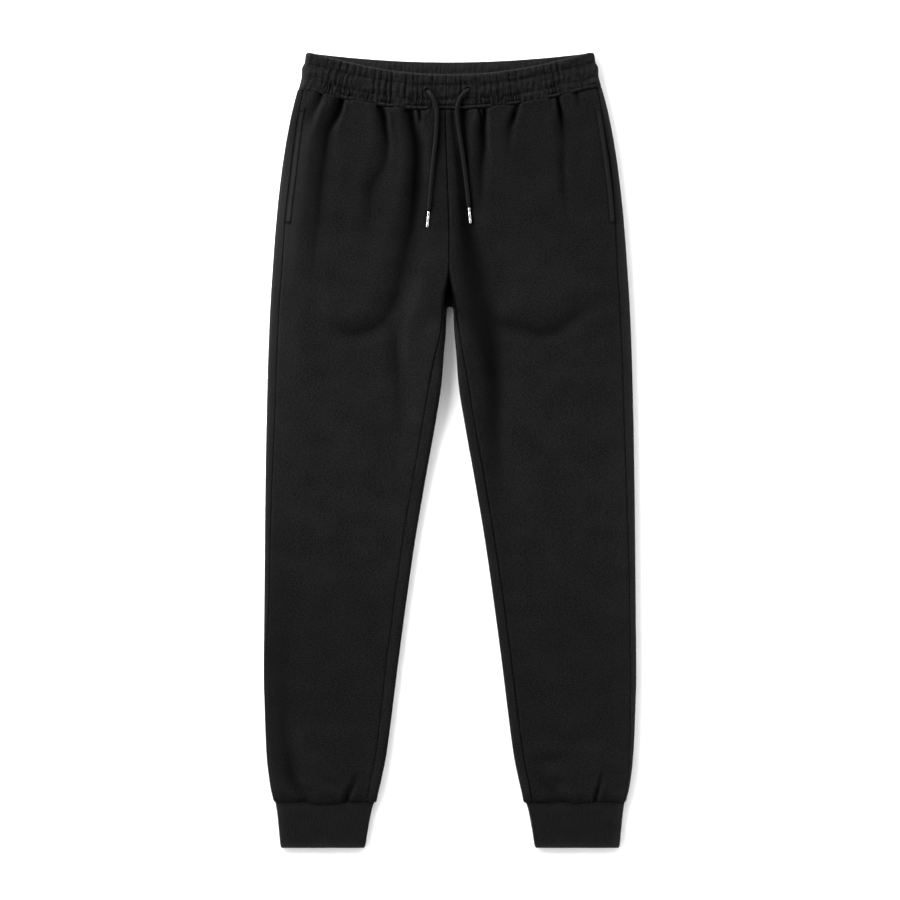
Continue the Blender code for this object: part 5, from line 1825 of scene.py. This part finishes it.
@dataclass(frozen=True)
class Back:
    """One back panel: it lies on the table and wraps up round both edges to the seams."""

    side: Side
    fork_reach: float = 2.6
    valley: float = 2.6      # height of the cloth in the notch between the fronts
    groove: float = 0.5      # how far the cloth dips at a seam
    underside: int = 12      # columns of the flat underside
    shaded: int = 18         # columns that lie in the shade of the notch

    def wrap(self, drop: Array, angle: Array, top: tuple[Array, Array],
             low: tuple[Array, Array]) -> Array:
        """Join the upper and lower half of a folded edge, with a groove at the seam."""
        x, z = (np.where(angle > 0.0, above, below) for above, below in zip(top, low))
        return np.stack((x, drop, z - self.groove * hill(90.0 - angle, 5.0)), -1)

    def outer_edge(self, drop: Array, angle: Array) -> Array:
        """Places round the outer fold. Angle 90 is at the outer seam, and -90 below.

        Args:
            drop: Places along.
            angle: Their edge angles.

        Returns:
            x, drop and height.
        """
        sign, turn = self.side.value, np.radians(angle)
        inset = FORM.outseam_inset[self.side](drop) - FORM.seam / 2.0
        inward = inset * np.where(angle > 0.0, 1.0 - np.cos(turn), 0.0)
        top = FORM.front(sign * (FORM.outer_width(drop) - inward), drop, 0.0)
        side = sign * (FORM.outer_width(drop) - FORM.reach + FORM.reach * np.cos(turn))
        return self.wrap(drop, angle, top, (side, dome(FORM.edge_loft(drop), turn)))

    def leg_edge(self, drop: Array, angle: Array) -> Array:
        """Places round a leg's inner fold. Angle 90 is at the inseam, and -90 below.

        Args:
            drop: Places along.
            angle: Their edge angles.

        Returns:
            x, drop and height.
        """
        sign, turn = self.side.value, np.radians(angle)
        outline, reach = sign * FORM.gap_width(drop), FORM.inner_reach(drop)
        inset = np.abs(FORM.inner_edge[self.side](drop) - outline) - FORM.seam / 2.0
        inward = sign * inset * np.where(angle > 0.0, 1.0 - np.cos(turn), 0.0)
        top = FORM.front(outline + inward, np.maximum(drop, FORM.fork + 0.01), 0.0)
        side = outline + sign * (reach - reach * np.cos(turn))
        return self.wrap(drop, angle, top, (side, dome(FORM.inner_height(drop), turn)))

    def fork_edge(self, share: float, angle: Array) -> Array:
        """Places round the fork's fold, from the front's seam to the underside.

        Args:
            share: 0 at the centre seam, 1 at the start of the leg's inner edge.
            angle: 90 down to 0 from the seam to the fold's outline, and -90 below.

        Returns:
            One place for each angle.
        """
        sign, gap = self.side.value, -FORM.seam / 2.0
        wide = float(FORM.gap_width(FORM.fork)) - gap
        turn = math.radians(90.0 * share)
        across, along = math.sin(turn) ** (2.0 / 3.0), math.cos(turn) ** (2.0 / 3.0)
        x, drop = sign * (gap + wide * across), FORM.fork + FORM.fork_depth * (1.0 - along)
        out = np.array((-sign * across ** 2 / wide, along ** 2 / FORM.fork_depth))
        out /= np.linalg.norm(out)
        reach = mix(self.fork_reach, FORM.leg_top_reach, share)
        height = mix(2.0 * self.fork_reach, float(FORM.inner_height(FORM.fork)), share)
        start = np.array((x, drop)) - out * reach
        if share == 0.0:
            start[0] = x
        seam_drop = np.interp(share, NOTCH_SHARES, NOTCH_DROPS)
        seam_x = float(FORM.inner_edge[self.side](seam_drop)) + sign * gap
        _, seam_z = FORM.front(seam_x, seam_drop, 0.0)
        t = unit((90.0 - angle) / 90.0)
        flat_part = smooth(t / 0.75)
        place = mix(np.array((seam_x, seam_drop))[None], start[None], flat_part[:, None])
        low = mix(self.valley, height, share ** 2)
        z = mix(float(seam_z) - 0.8, low, smooth(t / 0.32))
        z = mix(z, height, smooth((t - 0.4) / 0.35))
        round_part = np.radians(unit((0.25 - (1.0 - t)) / 0.25) * 90.0)
        place = place + out[None] * (reach * np.sin(round_part))[:, None]
        z = np.where(t > 0.75, height / 2.0 * (1.0 + np.cos(round_part)), z)
        lower = np.radians(np.minimum(angle, 0.0))
        place = np.where(angle[:, None] < 0.0, start + out * reach * np.cos(lower)[:, None], place)
        return np.column_stack((place, np.where(angle < 0.0, dome(height, lower), z)))

    def strip(self, row: float, angles: Array) -> Array:
        """Places of one row: inner edge, underside and outer edge in turn.

        Args:
            row: The row's drop before the waist's sag.
            angles: Angles round each edge, from 90 at the seam to -90 below.

        Returns:
            x, drop and height of each column.
        """
        sign, gap = self.side.value, FORM.seam / 2.0
        edge_drop = float(FORM.waist_drop(row, sign * FORM.seam_half, False))
        if row >= FORM.leg_end:
            edge_drop -= gap
        edge = np.full(angles.shape, edge_drop)
        outer = self.outer_edge(edge, angles)[::-1]
        joined = row < FORM.crotch - 0.01
        if joined:
            x = sign * gap
            centre = (x, float(FORM.waist_drop(row, x, False)), 0.0)
            inner = np.repeat([centre], len(angles), axis=0)
        elif row <= FORM.fork + 0.01:
            inner = self.fork_edge(float(np.interp(row, NOTCH_DROPS, NOTCH_SHARES)), angles)
        else:
            nearer = FORM.fork_depth * (1.0 - smooth((row - FORM.fork) / 40.0))
            inner = self.leg_edge(edge + nearer * smooth((90.0 - angles) / 67.5), angles)
        under = np.linspace(0.0, 1.0, self.underside + 2)[1:-1, None]
        flat = mix(inner[-1][None], outer[0][None], under)
        if joined:
            flat[:, 1] = FORM.waist_drop(row, flat[:, 0], False)
        strip = np.concatenate((inner, flat, outer))
        hang, dip = FORM.hem(row)
        lying = smooth(strip[:, 2] / 8.0)
        strip[:, 1] += hang * FORM.hem_lip(strip[:, 0]) * lying
        strip[:, 2] -= dip * lying
        return strip

    def pressed_and_shaded(self, drop: Array, angles: Array, columns: int) -> Array:
        """Darker seams, and painted shade where the legs part, in the notch, on the left leg's inner
        fold and under the right pocket's mouth.

        Args:
            drop: Each row's place along.
            angles: The columns' angles round each edge.
            columns: How many columns there are in all.

        Returns:
            0 for none, up to 1, as rows of columns.
        """
        inner, outer = FORM.seam_depth(self.side, drop)
        seam, dim, mouth, reach = hill(90.0 - angles, 5.0), 0.0, 0.0, 40.0
        if self.side is Side.LEFT:
            # painted shade on the left leg's inner fold, which faces away from the light
            dim = mix(0.8, 0.4, smooth((drop - 420.0) / 200.0)) * smooth((40.0 - angles) / 22.0)
            reach = 90.0
        else:
            mouth = smooth((drop - 72.0) / 20.0) * smooth((225.0 - drop) / 20.0)
        # painted shade on the inner folds near the fork, fading down the leg
        parted = (1.0 - smooth((drop - FORM.fork) / reach)) * (angles > -60.0)
        # painted shade under the right pocket's mouth
        under = mouth * 0.55 * hill(90.0 - angles, 26.0)
        total = np.zeros((len(drop), columns))
        total[:, :len(angles)] = np.where(
            drop > FORM.fork, np.maximum(inner * seam, parted) + dim, 0.0)
        total[:, columns - len(angles):] = np.maximum(outer * seam, under)[..., ::-1]
        # painted shade in the notch between the fronts
        notch = (drop >= FORM.crotch - 0.1) & (np.arange(columns) < self.shaded)
        total += np.where(notch, smooth((FORM.fork + 10.0 - drop) / 10.0), 0.0)
        return unit(total)

    def panel(self, finish: Finish) -> Piece:
        """The panel's cloth. It has no inner edge above the crotch, where both backs meet.

        Args:
            finish: The material.

        Returns:
            The piece.
        """
        rows = steps(FORM.band_height, (120.0, 3.5), (FORM.crotch, 5.0), (FORM.fork, 2.5),
                     (400.0, 3.4), (870.0, 6.0), (930.0, 3.2), (950.0, 1.8), (FORM.leg_end, 0.8))
        angles = np.concatenate((EDGE_ANGLES, np.linspace(0.0, -90.0, 7)))
        places = np.array([self.strip(row, angles) for row in rows])
        columns = places.shape[1]
        gone = np.zeros((len(rows) - 1, columns - 1), bool)
        gone[:int(np.argmin(np.abs(rows - FORM.crotch))), :len(angles) - 1] = True
        # painted highlight along the outer fold
        painted_highlight = FORM.rim(self.side, places[..., 0], places[..., 1])
        painted_highlight[:, :columns - len(angles)] = 0.0
        piece = lay_cloth(f"back_{self.side.label}_panel", places,
                          np.stack((girth(places), places[..., 1]), -1), finish, left_out=gone,
                          up=False, marks={"pressed_and_shaded": self.pressed_and_shaded(rows[:, None], angles, columns),
                                           "painted_light": painted_highlight})
        thicken(piece, FORM.cloth)
        return piece

    def build(self, fleece: Finish) -> None:
        """Make the back.

        Args:
            fleece: The cloth's material.
        """
        label = self.side.label
        panel = own(self.panel(fleece), Slot.FLEECE, f"back_{label}")


# ------------------------------------------------------------------ cuffs

# Drop, outer and inner half width, and height of a cuff tube
CUFF = (
    (956.3, 224.8, 95, 5.6), (962, 223.1, 98, 6.1), (968, 222.1, 100, 6.9), (974, 221.3, 101.3, 7),
    (996, 219.1, 105.3, 6.8), (1013, 217.4, 108.1, 6.6), (1017.6, 216.6, 109.2, 6.2),
)


@dataclass(frozen=True)
class Cuff:
    """One rib knit cuff: a double layer, folded at its lower edge."""

    side: Side
    ribs: int = 37
    groove: float = 0.42
    wall: float = 2.6
    reach: float = 3.4       # depth of the round sides
    nose: float = 1.7        # roundness of the folded lower edge
    corner: float = 2.8      # radius of its corners

    outer_width = Profile(CUFF)
    inner_width = Profile(CUFF, 2)
    height = Profile(CUFF, 3)

    def around(self) -> tuple[Array, Array]:
        """Share across and edge angle of each column, once round the tube.

        Returns:
            The columns' share and angle.
        """
        top = np.linspace(0.0, 1.0, 7 * self.ribs + 1)
        low = np.linspace(1.0, 0.0, 5 * self.ribs + 1)
        turn = np.linspace(90.0, -90.0, 11)[1:-1]
        share = np.concatenate((top, np.ones(turn.shape), low, np.zeros(turn.shape), [0.0]))
        angle = np.concatenate((np.full(top.shape, 90.0), turn, np.full(low.shape, -90.0),
                                turn[::-1], [90.0]))
        return share, angle

    def ring(self, drop: float, inside: bool) -> Array:
        """Places of one ring of the tube's outer or inner face.

        Args:
            drop: Where it lies.
            inside: Whether on the inner face.

        Returns:
            x, drop and height.
        """
        share, angle = self.around()
        sign, turn = self.side.value, np.radians(angle)
        corner = max(drop - FORM.length + self.corner, 0.0) / self.corner
        drawn = self.corner * (1.0 - math.sqrt(max(1.0 - corner ** 2, 0.0)))
        inner = float(self.inner_width(drop)) + drawn
        outer = float(self.outer_width(drop)) - drawn
        height = float(self.height(drop))
        reach = self.reach - (self.wall if inside else 0.0)
        x = mix(inner + self.reach, outer - self.reach, share)
        fold = (np.abs(angle) < FLAT) * np.where(share > 0.5, 1.0, -1.0)
        x = sign * (x + fold * reach * np.cos(turn))
        low, high = (self.wall, 3.1) if inside else (0.0, height)
        z = mix(low, high, 0.5 + 0.5 * np.sin(turn))
        if not inside:
            wander = 0.18 * waves(share * 60.0, drop / 3.0, 40.0, 41)
            rib = np.cos(math.tau * (share * self.ribs + 0.5 + wander))
            hollow = self.groove * (0.5 + 0.5 * rib) ** 1.5 * np.where(angle > 0.0, 1.0, 0.6)
            z = z - np.sign(angle) * hollow * (np.abs(angle) > FLAT)
            z = z + 0.3 * waves(x, drop, 26.0, 42) * (angle > FLAT)
        return np.stack((x, np.full(x.shape, drop), z), -1)

    def tube(self, finish: Finish) -> Piece:
        """The cuff's cloth.

        Args:
            finish: The material.

        Returns:
            The piece.
        """
        last = FORM.length - self.nose
        down = steps(956.3, (966.0, 1.4), (1012.0, 2.6), (last, 0.8))
        up = np.array((last, 1000.0, 975.0, 957.0))
        rows = [self.ring(drop, False) for drop in down]
        inside = [self.ring(drop, True) for drop in up]
        for turn in np.radians((30.0, 60.0, 90.0, 120.0, 150.0)):
            row = mix(inside[0], rows[len(down) - 1], 0.5 + 0.5 * math.cos(turn))
            row[:, 1] += self.nose * math.sin(turn)
            rows.append(row)
        rows += inside
        rows.append(rows[0])
        places = np.array(rows)
        reach = np.concatenate((down, last + np.linspace(0.6, 3.0, 5), 2.0 * last + 4.0 - up,
                                [2.0 * last + 4.0 - 955.0]))
        grain = np.stack(np.meshgrid(girth(places[0]), reach), -1)
        # painted shadow under the hem that hangs over the cuff
        tucked = places[..., 1] - FORM.leg_end - FORM.hem_lip(places[..., 0])
        pressed_and_shaded = np.where(np.arange(len(rows))[:, None] < len(down), 0.95 * np.exp(
            -np.maximum(tucked, 0.0) / 1.3), 0.0)
        # painted highlight along the folded lower edge and the sides
        inward = self.outer_width(places[..., 1]) - np.abs(places[..., 0])
        painted_highlight = 0.45 * hill(FORM.length - places[..., 1], 5.0) + 0.3 * hill(inward, 8.0)
        return lay_cloth(f"cuff_{self.side.label}_rib", places, grain, finish, weld=True,
                         marks={"pressed_and_shaded": pressed_and_shaded, "painted_light": unit(painted_highlight)})

    def build(self, knit: Finish) -> None:
        """Make the cuff."""
        tube = own(self.tube(knit), Slot.RIB, f"cuff_{self.side.label}")


# ------------------------------------------------------------------ studio


@dataclass(frozen=True)
class Studio:
    """A plain pale table, a large soft light at the upper left, and the camera above."""

    field: float = 1.152     # metres that the picture shows across
    lens: float = 100.0
    sensor: float = 36.0
    level: float = 0.005     # height of the garment's outline
    centre: tuple[float, float] = (0.0, 0.0006)
    walls: float = 6.1       # brightness of the walls
    ceiling: float = 0.06    # and of the ceiling
    lean: tuple[float, float, float] = (-0.33, 0.55, 0.0)    # where the walls are brighter
    clouds: float = 1000.0 / 60.0                            # mm, faint ones in the table's white

    def camera(self) -> None:
        """A long lens straight above, with the waist at the top of the picture."""
        data = bpy.data.cameras.new("camera")
        data.lens, data.sensor_width = self.lens, self.sensor
        data.clip_end = 20.0
        camera = put("camera", data)
        camera.location = (*self.centre, self.level + self.field * self.lens / self.sensor)
        bpy.context.scene.camera = camera

    def table(self) -> None:
        """The pale table top."""
        material, tree, shader = start_material("white_matt_table")
        faint = tufts(tree, in_piece(tree), self.clouds, 2.0)
        feed(tree, shader, {"Base Color": blend(tree, faint, "#f7f7f7", "#f9f9f9"),
                            "Roughness": 0.9, "Specular IOR Level": 0.1})
        bm = bmesh.new()
        bmesh.ops.create_grid(bm, x_segments=4, y_segments=4, size=4.0)
        bmesh.ops.translate(bm, verts=bm.verts, vec=(0.0, 0.0, -0.0002))
        show(bm, "table", material)

    def light(self, name: str, place: tuple[float, float, float], size: float,
              power: float) -> None:
        """A square soft light that faces the garment.

        Args:
            name: Its name.
            place: Where it hangs.
            size: Its side.
            power: Its watts.
        """
        data = bpy.data.lights.new(name, "AREA")
        data.shape, data.size, data.energy = "SQUARE", size, power
        lamp = put(name, data)
        lamp.location = place
        lamp.rotation_mode = "QUATERNION"
        lamp.rotation_quaternion = (-Vector(place)).to_track_quat("-Z", "Y")

    def surround(self) -> None:
        """White walls all round, brighter than the ceiling: light that grazes the cloth."""
        world = bpy.data.worlds.new("studio")
        world.use_nodes = True
        tree = world.node_tree
        way = add_node(tree, "ShaderNodeTexCoord").outputs["Generated"]
        height = add_node(tree, "ShaderNodeSeparateXYZ", {"Vector": way}).outputs["Z"]
        bright = add_node(tree, "ShaderNodeMapRange", {
            "Value": height, "From Min": 0.35, "From Max": 0.66, "To Min": self.walls,
            "To Max": self.ceiling}, interpolation_type="SMOOTHSTEP").outputs["Result"]
        lean = add_node(tree, "ShaderNodeVectorMath", {0: way, 1: self.lean},
                        operation="DOT_PRODUCT").outputs["Value"]
        share = add_node(tree, "ShaderNodeMath", {0: lean, 1: 1.0}).outputs["Value"]
        strength = add_node(tree, "ShaderNodeMath", {0: bright, 1: share},
                            operation="MULTIPLY").outputs["Value"]
        tree.links.new(strength, tree.nodes["Background"].inputs["Strength"])
        tree.nodes["Background"].inputs["Color"].default_value = (1.0, 1.0, 1.0, 1.0)
        bpy.context.scene.world = world

    def build(self) -> None:
        """Set the table, the lights and the picture's tones."""
        self.table()
        self.light("key_light", (-1.15, 1.15, 0.8), 0.75, 50.0)
        self.surround()
        bpy.context.scene.view_settings.view_transform = "Standard"


def main() -> None:
    """Build the garment piece by piece around the frame."""
    logging.basicConfig(level=logging.INFO, format="%(message)s")
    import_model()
    studio = Studio()
    studio.camera()
    fleece = BrushedFleece().build()
    thread = SewingThread().build()
    knit = RibKnit().build()
    braid, steel = BraidedPolyester().build(), PlatedSteel().build()
    for cord in DRAWCORDS:
        cord.build(braid, steel)
    for side in Side:
        Back(side).build(fleece)
        Front(side).build(fleece, thread)
        Cuff(side).build(knit)
    Waistband().build(fleece, thread)
    studio.build()


if __name__ == "__main__":
    main()
